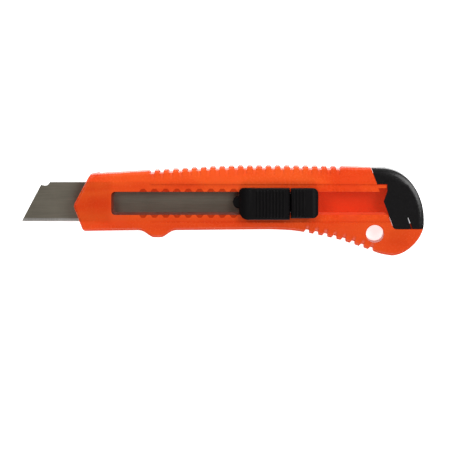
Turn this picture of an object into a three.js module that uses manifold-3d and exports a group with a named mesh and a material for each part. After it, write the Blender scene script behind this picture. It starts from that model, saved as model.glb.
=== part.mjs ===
// Snap-off utility knife with an 18 mm blade: a one-piece moulded handle, a slider that carries the
// blade along a toothed slot, and a pull-off end cap with a slit for snapping blade segments.
//
// Millimetres. The knife lies on its back: +X runs from the nose to the end cap, +Y points from the
// cutting edge to the spine, +Z from the back wall to the slot. Inside this file X is measured from
// the tip of the nose, Y from the blade's centre line and Z from the back face; the last lines move
// the origin to the bottom centre of the whole knife.

import * as THREE from "three";
import { mergeVertices } from "three/addons/utils/BufferGeometryUtils.js";
import Module from "manifold-3d";

const wasm = await Module();
wasm.setup();

// ---- Driving dimensions -------------------------------------------------------------------------

const GAP = 0.3; // clearance between pieces that touch or slide
const FAR = 60; // how far a cutter runs past the body

// Blade
const BLADE_WIDTH = 18;
const BLADE_THICKNESS = 0.5;
const BLADE_LENGTH = 105.5;
const BLADE_ANGLE = 62; // slant of the point and of the score lines, degrees
const GRIND_HEIGHT = 1.5; // ground band along the cutting edge
const EDGE_THICKNESS = 0.1; // what is left of the thickness at the cutting edge
const SCORE_PITCH = 12;
const SCORE_COUNT = 8;
const SCORE_WIDTH = 0.4;
const SCORE_DEPTH = 0.15;
const CORNER_NOTCH_LENGTH = 4.1; // step at the front corner of the spine
const CORNER_NOTCH_DEPTH = 1.6;
const STUD_INSET = 6.45; // centre of the mounting hole from the blade's rear end

// Handle
const BODY_LENGTH = 159.2;
const BODY_THICKNESS = 11;
const BODY_EDGE = 1.4; // rounding of the long edges
const WALL = 2; // back wall, under the blade
const FRONT_WALL = 2.4; // front wall, with the slot in it
const NOSE_WALL_UP = 4; // material beside the blade at the nose, spine side
const NOSE_WALL_DOWN = 3.8; // and on the edge side
const NOSE_SLANT_UP = 7.7; // how far the top corner lies behind the tip
const NOSE_SLANT_DOWN = 4.4;
const NOSE_DROP = 1.15; // the tip lies this far below the centre line
const NOSE_CORNER = 1.4;
const NOSE_SOLID = 10; // solid nose in front of the slider's cavity
const BACK_RISE = 3.8; // crown of the back above the nose's top corner
const WAIST_WALL = 3; // material below the blade at the waist
const WAIST_FROM_END = 71.2;
const GUARD_START = 29.4; // finger guard on the underside
const GUARD_TOP = 37.1;
const GUARD_FLAT = 2.3;
const GUARD_LENGTH = 17.8;
const GUARD_HEIGHT = 3.3;
const HOOK_DEPTH = 15; // lowest point of the hooked rear end below the blade's edge
const HOOK_FROM_END = 14.6;

// Slot, its recess and its teeth
const SLOT_START = 17.4;
const LIP_REACH = 3.85; // how far each lip of the slot reaches over the blade
const SLOT_CORNER = 1.6;
const SLOT_CHAMFER = 0.35;
const RECESS_START = 36;
const RECESS_MARGIN = 1.5; // recess beyond each side of the thumb pad
const RECESS_DEPTH = 0.6;
const RECESS_RUN = 2.5; // length of the recess's sloping front end
const TOOTH_PITCH = 5.13;
const TOOTH_START = 31.7; // centre of the first notch
const TOOTH_COUNT = 22;
const TOOTH_DEPTH = 1.5;
const TOOTH_MOUTH = 3.9;
const TOOTH_FLOOR = 1.6;
const TOOTH_SKIN = 0.8; // wall left in front of the notches

// Grip grooves
const GROOVE_WIDTH = 2.4;
const GROOVE_DEPTH = 1.3;
const GROOVE_WRAP = 4.6; // how far a groove fades out across the face
const BACK_GROOVES = 21;
const BACK_GROOVE_START = 35.9;
const BACK_GROOVE_PITCH = 4.217;
const BELLY_GROOVES = 8;
const BELLY_GROOVE_FROM_END = 53.3;
const BELLY_GROOVE_PITCH = 4.14;

// Lanyard hole
const HOLE_RADIUS = 4;
const HOLE_FROM_END = 22.3;
const HOLE_WALL = 0.65; // between the hole and the blade's channel
const HOLE_CHAMFER = 0.4;

// End cap and the tongues that it fits over
const CAP_LENGTH = 18.2; // on the centre line
const JOINT_LEAN = 20.4; // slant of the cap's front edge, degrees from upright
const JOINT_CORNER = 2;
const SOLE_WALL = 2.57; // between the blade's channel and the cap's sole
const CAP_WALL = 1.5;
const CAP_CHAMFER = 2.1; // width of the bevelled rim on the face
const CAP_CHAMFER_DEPTH = 1.3;
const CAP_CORE_FROM_END = 9.7;
const CHEEK_LENGTH = 6;
const CHEEK_HEIGHT = 3.3;
const CHEEK_RISE = 0.4; // cheek above the channel
const LIP_TONGUE_LENGTH = 4.3;
const LIP_TONGUE_WIDTH = 1.5;
const LIP_TONGUE_INSET = 1.75; // from the slot's side
const CAP_NOTCH_REACH = 4.15; // the cap's notch runs this far past the slot's side
const FLOOR_TONGUE_LENGTH = 5.5;
const FLOOR_TONGUE_LOW = 2.1; // from the lower wall of the channel
const FLOOR_TONGUE_HIGH = 0.4; // from the upper wall
const FLOOR_TONGUE_CORNER = 2;
const RAIL_FROM_END = 6.6;
const RAIL_LENGTH = 4.4;
const RAIL_HEIGHT = 2.1;
const RAIL_THICKNESS = 3.8;
const SLIT_FROM_END = 7.3; // inner end of the snapping slit
const SLIT_DEPTH = 5.3;
const SLIT_LEAN = 20;
const SLIT_WIDTH = 0.7;
const SEAM_LENGTH = 6.4; // fine line moulded into the cap's face
const SEAM_HEIGHT = 9.9;
const SEAM_WIDTH = 0.3;

// Slider: everything on it is placed from the stud that holds the blade
const REST_NOTCH = 12; // the notch that the spring rests in, counted from the front
const SPRING_FROM_STUD = 18;
const STUD_RADIUS = 2.2;
const NUB_RADIUS = 2.8;
const NUB_RISE = 2.9; // top of the nub above the blade
const CARRIER_LENGTH = 31.95;
const CARRIER_PLATE = 1.6;
const CARRIER_RAIL = 1.5;
const NECK_FROM_STUD = 7.75;
const NECK_CLEARANCE = 1.55; // between the neck and the slot's side
const PAD_OVERHANG = 2.05; // the thumb pad beyond the slot's side
const PAD_LENGTH = 23;
const PAD_HEIGHT = 3.9; // from its underside to the bottom of its ribs
const PAD_FRONT_CORNER = 4.1;
const PAD_BACK_CORNER = 2;
const PAD_NOSE_DROP = 2.6; // how far the pad slopes down to its front
const PAD_SLOPE = 6.5;
const PEG_LENGTH = 7.4;
const PEG_WIDTH = 2.4;
const PEG_DEPTH = 3;
const BUTTON_SPLIT = 0.4; // between the pad and the lock button
const BUTTON_LENGTH = 12.5;
const BUTTON_STEP = 0.7; // the button is narrower than the pad on the edge side
const BUTTON_LIFT = 1; // its underside is above the face of the body by this
const BUTTON_CORNER = 2.6;
const RIBS_FROM_PAD = 7.8;
const RIB_PITCH = 1.5;
const RIB_HEIGHT = 0.45;
const PLAIN_END = 5.6; // unribbed rear of the button
const PIVOT_SINK = 0.8; // pivot below the face of the body
const PIVOT_RADIUS = 0.9;
const EAR_WALL = 1.2;
const EAR_MARGIN = 0.8; // material of an ear before and behind its pin
const WEDGE_LENGTH = 1.4;
const WEDGE_WIDTH = 3;

// Detent spring
const SPRING_THICKNESS = 0.4;
const SPRING_HANG = 1.8; // how far the strip reaches below the lips
const SPRING_AIR = 0.4; // between its bump and the notch's floor

// ---- Worked out from them -----------------------------------------------------------------------

const HALF_BLADE = BLADE_WIDTH / 2;
const CHANNEL = HALF_BLADE + GAP; // half width of the channel the blade slides in
const BLADE_Z = WALL + GAP;
const BLADE_TOP = BLADE_Z + BLADE_THICKNESS;
const PASSAGE_TOP = BLADE_TOP + GAP;
const LIP_Z = BODY_THICKNESS - FRONT_WALL; // underside of the slot's lips
const RECESS_Z = BODY_THICKNESS - RECESS_DEPTH;
const NOTCH_Z = RECESS_Z - TOOTH_SKIN;
const HALF_SLOT = HALF_BLADE - LIP_REACH;
const HALF_NECK = HALF_SLOT - NECK_CLEARANCE;
const HALF_PAD = HALF_SLOT + PAD_OVERHANG;
const HALF_RECESS = HALF_PAD + RECESS_MARGIN;

const NOSE_UP = HALF_BLADE + NOSE_WALL_UP;
const NOSE_DOWN = HALF_BLADE + NOSE_WALL_DOWN;
const WAIST = HALF_BLADE + WAIST_WALL;
const CAP_SOLE = -CHANNEL - SOLE_WALL;
const HOLE_X = BODY_LENGTH - HOLE_FROM_END;
const HOLE_Y = -CHANNEL - HOLE_WALL - HOLE_RADIUS;
const RAIL_START = BODY_LENGTH - RAIL_FROM_END;
const RAIL_END = RAIL_START + RAIL_LENGTH;

const SPRING_X = TOOTH_START + REST_NOTCH * TOOTH_PITCH;
const STUD_X = SPRING_X - SPRING_FROM_STUD;
const BLADE_TAIL = STUD_X + STUD_INSET;
const BLADE_TIP = BLADE_TAIL - BLADE_LENGTH;
const NECK_START = STUD_X + NECK_FROM_STUD;
const CARRIER_END = STUD_X + CARRIER_LENGTH;
const PAD_START = STUD_X;
const PAD_END = PAD_START + PAD_LENGTH;
const PAD_Z = BODY_THICKNESS + GAP; // underside of the thumb pad
const THUMB_Z = PAD_Z + PAD_HEIGHT;
const PEG_X = (NECK_START + PAD_END) / 2;
const BUTTON_START = PAD_END + BUTTON_SPLIT;
const BUTTON_END = BUTTON_START + BUTTON_LENGTH;
const BUTTON_Z = BODY_THICKNESS + BUTTON_LIFT;
const PIVOT_X = BUTTON_START + PIVOT_RADIUS + EAR_MARGIN;
const PIVOT_Z = BODY_THICKNESS - PIVOT_SINK;
const WEDGE_X = CARRIER_END - WEDGE_LENGTH / 2 - GAP;

const radians = THREE.MathUtils.degToRad;
const point = (x, y) => new THREE.Vector2(x, y);

// ---- Solids -------------------------------------------------------------------------------------

// A closed geometry as a solid that can be joined and cut.
function solid(geometry) {
  geometry.deleteAttribute("normal");
  geometry.deleteAttribute("uv");
  const merged = mergeVertices(geometry, 1e-4);
  return new wasm.Manifold(
    new wasm.Mesh({
      numProp: 3,
      vertProperties: merged.attributes.position.array,
      triVerts: new Uint32Array(merged.index.array),
    }),
  );
}

function geometryOf(body) {
  const mesh = body.getMesh();
  const geometry = new THREE.BufferGeometry();
  const position = new THREE.BufferAttribute(new Float32Array(mesh.vertProperties), 3);
  geometry.setAttribute("position", position);
  geometry.setIndex(new THREE.BufferAttribute(new Uint32Array(mesh.triVerts), 1));
  geometry.computeVertexNormals();
  return geometry;
}

const join = (bodies) => bodies.reduce((sum, body) => sum.add(body));
const cut = (body, cutters) => cutters.reduce((rest, cutter) => rest.subtract(cutter), body);

function box(x0, x1, y0, y1, z0, z1) {
  const geometry = new THREE.BoxGeometry(x1 - x0, y1 - y0, z1 - z0);
  return solid(geometry.translate((x0 + x1) / 2, (y0 + y1) / 2, (z0 + z1) / 2));
}

// An outline in the XY plane, standing from z0 to z1.
function prism(outline, z0, z1) {
  const shape = outline instanceof THREE.Shape ? outline : new THREE.Shape(outline);
  const options = { depth: z1 - z0, bevelEnabled: false, curveSegments: 8 };
  return solid(new THREE.ExtrudeGeometry(shape, options).translate(0, 0, z0));
}

// The same with its top and bottom edges rounded, or chamfered in one step.
function roundedPrism(outline, z0, z1, across, deep, steps) {
  const geometry = new THREE.ExtrudeGeometry(new THREE.Shape(outline), {
    depth: z1 - z0 - 2 * deep,
    bevelThickness: deep,
    bevelSize: across,
    bevelOffset: -across,
    bevelSegments: steps,
  });
  return solid(geometry.translate(0, 0, z0 + deep));
}

// An outline drawn in X and Z, standing from y0 to y1.
function sidePrism(outline, y0, y1) {
  const options = { depth: y1 - y0, bevelEnabled: false, curveSegments: 8 };
  const geometry = new THREE.ExtrudeGeometry(new THREE.Shape(outline), options);
  return solid(geometry.rotateX(Math.PI / 2).translate(0, y1, 0));
}

function post(x, y, radius, z0, z1, sides = 32) {
  const geometry = new THREE.CylinderGeometry(radius, radius, z1 - z0, sides);
  return solid(geometry.rotateX(Math.PI / 2).translate(x, y, (z0 + z1) / 2));
}

function crossPin(x, z, radius, y0, y1, sides = 24) {
  const geometry = new THREE.CylinderGeometry(radius, radius, y1 - y0, sides);
  return solid(geometry.translate(x, (y0 + y1) / 2, z));
}

// A rectangle with its own radius at each corner: [x0,y0], [x1,y0], [x1,y1], [x0,y1].
function roundedRectangle(x0, x1, y0, y1, radii) {
  const shape = new THREE.Shape();
  const [a, b, c, d] = radii;
  shape.moveTo(x0 + a, y0);
  shape.lineTo(x1 - b, y0);
  if (b) shape.absarc(x1 - b, y0 + b, b, -Math.PI / 2, 0);
  shape.lineTo(x1, y1 - c);
  if (c) shape.absarc(x1 - c, y1 - c, c, 0, Math.PI / 2);
  shape.lineTo(x0 + d, y1);
  if (d) shape.absarc(x0 + d, y1 - d, d, Math.PI / 2, Math.PI);
  shape.lineTo(x0, y0 + a);
  if (a) shape.absarc(x0 + a, y0 + a, a, Math.PI, 1.5 * Math.PI);
  return shape;
}

// A corner of an outline, as a few points of a round.
function roundedCorner(before, corner, after) {
  const start = corner.clone().add(before.clone().sub(corner).setLength(NOSE_CORNER));
  const end = corner.clone().add(after.clone().sub(corner).setLength(NOSE_CORNER));
  return new THREE.QuadraticBezierCurve(start, corner, end).getPoints(5);
}

// ---- The knife's outline ------------------------------------------------------------------------

// The back, from the nose's top corner to where the cap's round end begins.
function backLine() {
  const crown = NOSE_UP + BACK_RISE;
  const knots = [
    point(NOSE_SLANT_UP, NOSE_UP),
    point(0.21 * BODY_LENGTH, NOSE_UP + 0.4 * BACK_RISE),
    point(0.4 * BODY_LENGTH, crown - 0.12 * BACK_RISE),
    point(0.53 * BODY_LENGTH, crown),
    point(0.71 * BODY_LENGTH, crown - 0.06 * BACK_RISE),
    point(BODY_LENGTH - 19.6, crown - 0.24 * BACK_RISE),
  ];
  return new THREE.SplineCurve(knots).getPoints(40);
}

// The round end of the cap, down to where the handle's belly takes over.
function endLine(start) {
  const end = point(BODY_LENGTH, CAP_SOLE + 3.9);
  const curve = new THREE.CubicBezierCurve(
    start,
    point(start.x + 11, start.y),
    point(end.x, end.y + 13.6),
    end,
  );
  return curve.getPoints(24).slice(1);
}

function hookLine() {
  const start = point(BODY_LENGTH, CAP_SOLE + 2.4);
  const end = point(BODY_LENGTH - HOOK_FROM_END, -HALF_BLADE - HOOK_DEPTH);
  const curve = new THREE.CubicBezierCurve(
    start,
    point(start.x, start.y - 6.5),
    point(end.x + 6.9, end.y),
    end,
  );
  return curve.getPoints(18);
}

// The underside, from the lowest point of the hook forwards to the finger guard.
function bellyLine() {
  const low = point(BODY_LENGTH - HOOK_FROM_END, -HALF_BLADE - HOOK_DEPTH);
  const waistX = BODY_LENGTH - WAIST_FROM_END;
  const run = low.x - waistX;
  const rise = -WAIST - low.y;
  const knots = [
    low,
    point(low.x - 0.092 * run, low.y + 0.078 * rise),
    point(low.x - 0.193 * run, low.y + 0.25 * rise),
    point(low.x - 0.415 * run, low.y + 0.6 * rise),
    point(low.x - 0.645 * run, low.y + 0.845 * rise),
    point(low.x - 0.815 * run, low.y + 0.966 * rise),
    point(waistX, -WAIST),
  ];
  return new THREE.SplineCurve(knots).getPoints(32).slice(1);
}

function guardLine() {
  const level = -WAIST - 0.4;
  const tip = level - GUARD_HEIGHT;
  const end = GUARD_START + GUARD_LENGTH;
  const topEnd = GUARD_TOP + GUARD_FLAT;
  const rise = new THREE.CubicBezierCurve(
    point(end, level),
    point(end - 3.8, level),
    point(topEnd + 2.6, tip),
    point(topEnd, tip),
  );
  const fall = new THREE.CubicBezierCurve(
    point(GUARD_TOP, tip),
    point(GUARD_TOP - 2.8, tip),
    point(GUARD_START + 3.5, level),
    point(GUARD_START, level),
  );
  return [...rise.getPoints(9), ...fall.getPoints(9)];
}

const BACK = backLine();
const BELLY = bellyLine();
const GUARD = guardLine();
const NOSE = [point(0, -NOSE_DROP), point(NOSE_SLANT_DOWN, -NOSE_DOWN)];
const OUTLINE = [
  ...roundedCorner(BACK[1], NOSE[0], NOSE[1]),
  ...roundedCorner(NOSE[0], NOSE[1], GUARD[GUARD.length - 1]),
  ...GUARD.slice().reverse(),
  ...BELLY.slice().reverse(),
  ...hookLine().reverse(),
  ...endLine(BACK[BACK.length - 1]).reverse(),
  ...BACK.slice(1).reverse(),
  ...roundedCorner(BACK[1], BACK[0], NOSE[0]),
];

// The point of a line at x, with the line's direction there.
function spotOn(line, x) {
  const after = line.findIndex((p, i) => i > 0 && (p.x - x) * (line[i - 1].x - x) <= 0);
  const [a, b] = [line[after - 1], line[after]].sort((p, q) => p.x - q.x);
  const share = (x - a.x) / (b.x - a.x);
  return { x, y: a.y + share * (b.y - a.y), angle: Math.atan2(b.y - a.y, b.x - a.x) };
}

// X of the cap's slanting edge at a height.
const jointX = (y) => BODY_LENGTH - CAP_LENGTH - y * Math.tan(radians(JOINT_LEAN));

// All that lies behind the slanting edge and above the cap's sole, kept back by a clearance.
function capRegion(clearance) {
  const sole = CAP_SOLE + clearance;
  const lean = radians(JOINT_LEAN);
  const side = clearance / Math.cos(lean);
  const turn = Math.PI / 2 - lean;
  const back = JOINT_CORNER * Math.tan(turn / 2); // tangent length of the rounded corner
  const corner = point(jointX(sole) + side, sole);
  const shape = new THREE.Shape();
  shape.moveTo(jointX(FAR) + side, FAR);
  shape.lineTo(corner.x - back * Math.sin(lean), sole + back * Math.cos(lean));
  shape.quadraticCurveTo(corner.x, corner.y, corner.x + back, sole);
  shape.lineTo(BODY_LENGTH + FAR, sole);
  shape.lineTo(BODY_LENGTH + FAR, FAR);
  return shape;
}

// A strip behind the slanting edge: from 1 mm before it to an end that is upright.
function behindJoint(y0, y1, end) {
  return [point(jointX(y0) - 1, y0), point(end, y0), point(end, y1), point(jointX(y1) - 1, y1)];
}

// The same with an end that leans as the edge does.
function cheekOutline(grow) {
  const low = CHANNEL + CHEEK_RISE - grow;
  const high = CHANNEL + CHEEK_RISE + CHEEK_HEIGHT + grow;
  const length = CHEEK_LENGTH + grow;
  return [
    point(jointX(low) - 1, low),
    point(jointX(low) + length, low),
    point(jointX(high) + length, high),
    point(jointX(high) - 1, high),
  ];
}

// ---- Handle -------------------------------------------------------------------------------------

// One grip groove across an edge. The removed profile is drawn in Z and outward distance, so the
// groove is GROOVE_DEPTH deep on the edge and fades out across both faces.
function gripGroove(spot, outward) {
  const face = 0.45; // depth where the groove turns onto a face
  const turn = GROOVE_DEPTH + 0.6;
  const half = [
    [-GROOVE_WRAP, -1],
    [-GROOVE_WRAP, 0],
    [-turn, face],
    [-GROOVE_DEPTH, BODY_EDGE],
  ];
  const near = half.map(([out, z]) => point(z, out));
  const far = half.map(([out, z]) => point(BODY_THICKNESS - z, out)).reverse();
  const profile = [...near, ...far, point(BODY_THICKNESS + 1, 3), point(-1, 3)];
  const options = { depth: GROOVE_WIDTH, bevelEnabled: false };
  const geometry = new THREE.ExtrudeGeometry(new THREE.Shape(profile), options);
  geometry.translate(0, 0, -GROOVE_WIDTH / 2);
  geometry.rotateY(-Math.PI / 2); // the profile's X becomes Z, its extrusion runs along X
  if (outward < 0) geometry.rotateX(Math.PI).translate(0, 0, BODY_THICKNESS);
  return solid(geometry.rotateZ(spot.angle).translate(spot.x, spot.y, 0));
}

function gripGrooves() {
  const bellyStart = BODY_LENGTH - BELLY_GROOVE_FROM_END;
  const grooves = [];
  for (let i = 0; i < BACK_GROOVES; i++)
    grooves.push(gripGroove(spotOn(BACK, BACK_GROOVE_START + i * BACK_GROOVE_PITCH), 1));
  for (let i = 0; i < BELLY_GROOVES; i++)
    grooves.push(gripGroove(spotOn(BELLY, bellyStart + i * BELLY_GROOVE_PITCH), -1));
  return grooves;
}

// The notches that the spring clicks into, in the underside of both lips of the slot.
function slotNotches() {
  const notches = [];
  for (let i = 0; i < TOOTH_COUNT; i++)
    for (const side of [-1, 1]) {
      const x = TOOTH_START + i * TOOTH_PITCH;
      const inner = side * (HALF_SLOT - 0.5);
      const mouth = side * HALF_SLOT;
      const floor = side * (HALF_SLOT + TOOTH_DEPTH);
      const outline = [
        point(x - TOOTH_MOUTH / 2, inner),
        point(x + TOOTH_MOUTH / 2, inner),
        point(x + TOOTH_MOUTH / 2, mouth),
        point(x + TOOTH_FLOOR / 2, floor),
        point(x - TOOTH_FLOOR / 2, floor),
        point(x - TOOTH_MOUTH / 2, mouth),
      ];
      notches.push(prism(outline, LIP_Z - 0.5, NOTCH_Z));
    }
  return notches;
}

// The slot with a chamfered rim where it meets the face at height z.
function slotCutter(z) {
  const end = BODY_LENGTH + FAR;
  const opening = (grow) => {
    const corner = SLOT_CORNER + grow;
    const side = HALF_SLOT + grow;
    return roundedRectangle(SLOT_START - grow, end, -side, side, [corner, 0, 0, corner]);
  };
  const rim = new THREE.ExtrudeGeometry(opening(SLOT_CHAMFER), {
    depth: 2,
    bevelThickness: SLOT_CHAMFER,
    bevelSize: SLOT_CHAMFER,
    bevelOffset: -SLOT_CHAMFER,
    bevelSegments: 1,
    curveSegments: 8,
  });
  return prism(opening(0), LIP_Z - 1, z).add(solid(rim.translate(0, 0, z)));
}

function recessCutter() {
  const profile = [
    point(RECESS_START - RECESS_RUN, BODY_THICKNESS + GAP),
    point(RECESS_START, RECESS_Z),
    point(BODY_LENGTH + FAR, RECESS_Z),
    point(BODY_LENGTH + FAR, BODY_THICKNESS + GAP),
  ];
  return sidePrism(profile, -HALF_RECESS, HALF_RECESS);
}

// The hollow under the cap's sole that keeps the hook's walls even.
function hookPocket() {
  const left = jointX(CAP_SOLE) + 0.8;
  const right = RAIL_START - 1.1;
  const outline = [
    point(left - 2.4, CAP_SOLE - 7.4),
    point(right, CAP_SOLE - 7.4),
    point(right, CAP_SOLE + 1),
    point(left, CAP_SOLE + 1),
    point(left, CAP_SOLE - 1.6),
    point(left - 2.4, CAP_SOLE - 1.6),
  ];
  return prism(outline, WALL, BODY_THICKNESS - WALL);
}

function floorTongue(grow) {
  const corner = FLOOR_TONGUE_CORNER + grow;
  const high = CHANNEL - FLOOR_TONGUE_HIGH + grow;
  const end = jointX(0) + FLOOR_TONGUE_LENGTH + grow;
  const low = FLOOR_TONGUE_LOW - CHANNEL - grow;
  return roundedRectangle(jointX(high) - 1, end, low, high, [0, corner, corner, 0]);
}

function lipTongue() {
  const low = HALF_SLOT + LIP_TONGUE_INSET;
  const high = low + LIP_TONGUE_WIDTH;
  return behindJoint(low, high, jointX(high) + LIP_TONGUE_LENGTH);
}

// The cap's notch round the lip's tongue, which runs down over the slot to a slanting corner.
function capNotch() {
  const low = HALF_SLOT - CAP_NOTCH_REACH;
  const corner = HALF_SLOT + GAP;
  const top = HALF_SLOT + LIP_TONGUE_INSET + LIP_TONGUE_WIDTH;
  const end = jointX(top) + LIP_TONGUE_LENGTH + GAP;
  return [
    point(jointX(low) - 1, low),
    point(jointX(low) + GAP, low),
    point(end, corner),
    point(end, top + GAP),
    point(jointX(top) - 1, top + GAP),
  ];
}

// What the handle reaches into the cap with: a cheek above the channel, the end of the upper lip,
// the channel's floor, and a rail on the hook.
function capTongues() {
  const railMiddle = BODY_THICKNESS / 2;
  return [
    prism(cheekOutline(0), CAP_WALL + GAP, BODY_THICKNESS - CAP_WALL - GAP),
    prism(lipTongue(), LIP_Z, RECESS_Z),
    prism(floorTongue(0), 0, WALL),
    box(
      RAIL_START,
      RAIL_END,
      CAP_SOLE - 1,
      CAP_SOLE + RAIL_HEIGHT,
      railMiddle - RAIL_THICKNESS / 2,
      railMiddle + RAIL_THICKNESS / 2,
    ),
  ];
}

// The lanyard hole, with both rims chamfered.
function holeCutter() {
  const rim = HOLE_RADIUS + HOLE_CHAMFER;
  const profile = [
    point(0, -HOLE_CHAMFER),
    point(rim + HOLE_CHAMFER, -HOLE_CHAMFER),
    point(HOLE_RADIUS, HOLE_CHAMFER),
    point(HOLE_RADIUS, BODY_THICKNESS - HOLE_CHAMFER),
    point(rim + HOLE_CHAMFER, BODY_THICKNESS + HOLE_CHAMFER),
    point(0, BODY_THICKNESS + HOLE_CHAMFER),
  ];
  const geometry = new THREE.LatheGeometry(profile, 48).rotateX(Math.PI / 2);
  return solid(geometry.translate(HOLE_X, HOLE_Y, 0));
}

function handleSolid() {
  const channelEnd = BODY_LENGTH + FAR;
  const blank = roundedPrism(OUTLINE, 0, BODY_THICKNESS, BODY_EDGE, BODY_EDGE, 5);
  const shell = cut(blank, [
    prism(capRegion(0), -1, BODY_THICKNESS + 1),
    box(-1, NOSE_SOLID + 1, -CHANNEL, CHANNEL, WALL, PASSAGE_TOP),
    box(NOSE_SOLID, channelEnd, -CHANNEL, CHANNEL, WALL, LIP_Z),
    recessCutter(),
    slotCutter(RECESS_Z),
    slotCutter(BODY_THICKNESS).intersect(box(0, RECESS_START, -FAR, FAR, 0, FAR)),
    ...slotNotches(),
    ...gripGrooves(),
    holeCutter(),
    hookPocket(),
  ]);
  return join([shell, ...capTongues()]);
}

// ---- End cap ------------------------------------------------------------------------------------

function snapSlit() {
  const length = SLIT_DEPTH / Math.cos(radians(SLIT_LEAN)) + 2;
  const geometry = new THREE.BoxGeometry(SLIT_WIDTH, length, BODY_THICKNESS + 2);
  geometry.translate(0, -length / 2, BODY_THICKNESS / 2).rotateZ(radians(SLIT_LEAN));
  return solid(geometry.translate(BODY_LENGTH - SLIT_FROM_END, CAP_SOLE + SLIT_DEPTH, 0));
}

function capSolid() {
  const rear = OUTLINE.filter((p) => p.x > BODY_LENGTH / 2);
  rear.push(point(0, rear[rear.length - 1].y), point(0, rear[0].y));
  const blank = roundedPrism(rear, 0, BODY_THICKNESS, CAP_CHAMFER, CAP_CHAMFER_DEPTH, 1);
  const region = prism(capRegion(GAP), -1, BODY_THICKNESS + 1);
  const inside = [CAP_WALL, BODY_THICKNESS - CAP_WALL];
  const notch = capNotch();
  const coreHigh = CHANNEL + CHEEK_RISE - GAP - 1.2;
  const core = behindJoint(1.5 - CHANNEL, coreHigh, BODY_LENGTH - CAP_CORE_FROM_END);
  const seamX = jointX(SEAM_HEIGHT) + 1.9;
  const railMiddle = BODY_THICKNESS / 2;
  const grooveReach = RAIL_THICKNESS / 2 + GAP;
  return cut(blank.intersect(region), [
    prism(cheekOutline(GAP), ...inside),
    prism(core, WALL + GAP, BODY_THICKNESS - CAP_WALL),
    prism(notch, WALL + GAP, BODY_THICKNESS + 1),
    prism(floorTongue(GAP), -1, WALL + GAP),
    box(
      jointX(CAP_SOLE) - 5,
      RAIL_END + GAP,
      CAP_SOLE - 1,
      CAP_SOLE + RAIL_HEIGHT + GAP,
      railMiddle - grooveReach,
      railMiddle + grooveReach,
    ),
    snapSlit(),
    box(
      seamX,
      seamX + SEAM_LENGTH,
      SEAM_HEIGHT - SEAM_WIDTH / 2,
      SEAM_HEIGHT + SEAM_WIDTH / 2,
      BODY_THICKNESS - 0.2,
      BODY_THICKNESS + 1,
    ),
  ]);
}

// ---- Blade --------------------------------------------------------------------------------------

function bladeOutline() {
  const slant = Math.tan(radians(90 - BLADE_ANGLE));
  const tip = BLADE_TIP;
  const shoulder = HALF_BLADE - CORNER_NOTCH_DEPTH * 0.8;
  const shoulderX = tip + (shoulder + HALF_BLADE) * slant;
  return [
    point(tip, -HALF_BLADE),
    point(BLADE_TAIL, -HALF_BLADE),
    point(BLADE_TAIL, HALF_BLADE),
    point(shoulderX + CORNER_NOTCH_LENGTH, HALF_BLADE),
    point(shoulderX + 0.7 * CORNER_NOTCH_LENGTH, HALF_BLADE - CORNER_NOTCH_DEPTH),
    point(shoulderX + 0.4 * CORNER_NOTCH_LENGTH, HALF_BLADE - CORNER_NOTCH_DEPTH),
    point(shoulderX, shoulder),
  ];
}

// The cutting edge's two ground faces, as what they take away, drawn in Y and Z.
function grindCutter(side) {
  const middle = BLADE_Z + BLADE_THICKNESS / 2;
  const face = middle + (side * BLADE_THICKNESS) / 2;
  const edge = middle + (side * EDGE_THICKNESS) / 2;
  const profile = [
    point(-HALF_BLADE - 1, edge - (side * (BLADE_THICKNESS - EDGE_THICKNESS)) / 3),
    point(-HALF_BLADE, edge),
    point(-HALF_BLADE + GRIND_HEIGHT, face),
    point(-HALF_BLADE + GRIND_HEIGHT, face + side),
    point(-HALF_BLADE - 1, face + side),
  ];
  const options = { depth: BLADE_LENGTH + 2, bevelEnabled: false };
  const geometry = new THREE.ExtrudeGeometry(new THREE.Shape(profile), options);
  geometry.rotateY(Math.PI / 2).rotateX(Math.PI / 2);
  return solid(geometry.translate(BLADE_TIP - 1, 0, 0));
}

// The lines that the segments snap along, in the back face.
function scoreLines() {
  const slant = radians(90 - BLADE_ANGLE);
  const length = BLADE_WIDTH / Math.cos(slant) + 2;
  const lines = [];
  for (let i = 1; i < SCORE_COUNT; i++) {
    const geometry = new THREE.BoxGeometry(SCORE_WIDTH, length, 2 * SCORE_DEPTH);
    const x = BLADE_TIP + HALF_BLADE * Math.tan(slant) + i * SCORE_PITCH;
    lines.push(solid(geometry.rotateZ(-slant).translate(x, 0, BLADE_Z)));
  }
  return lines;
}

function bladeSolid() {
  return cut(prism(bladeOutline(), BLADE_Z, BLADE_TOP), [
    grindCutter(1),
    grindCutter(-1),
    ...scoreLines(),
    post(STUD_X, 0, STUD_RADIUS + GAP, 0, BODY_THICKNESS),
  ]);
}

// ---- Slider -------------------------------------------------------------------------------------

function pivotEar(side) {
  const y0 = side > 0 ? HALF_NECK - EAR_WALL : -HALF_NECK;
  const ear = box(
    PIVOT_X - PIVOT_RADIUS - EAR_MARGIN,
    PIVOT_X + PIVOT_RADIUS + EAR_MARGIN,
    y0,
    y0 + EAR_WALL,
    PASSAGE_TOP + 1,
    PIVOT_Z + 1,
  );
  const mouth = 0.85 * PIVOT_RADIUS;
  return cut(ear, [
    crossPin(PIVOT_X, PIVOT_Z, PIVOT_RADIUS + GAP, y0 - 1, y0 + EAR_WALL + 1),
    box(PIVOT_X - mouth, PIVOT_X + mouth, y0 - 1, y0 + EAR_WALL + 1, PIVOT_Z, PIVOT_Z + 2),
  ]);
}

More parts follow.
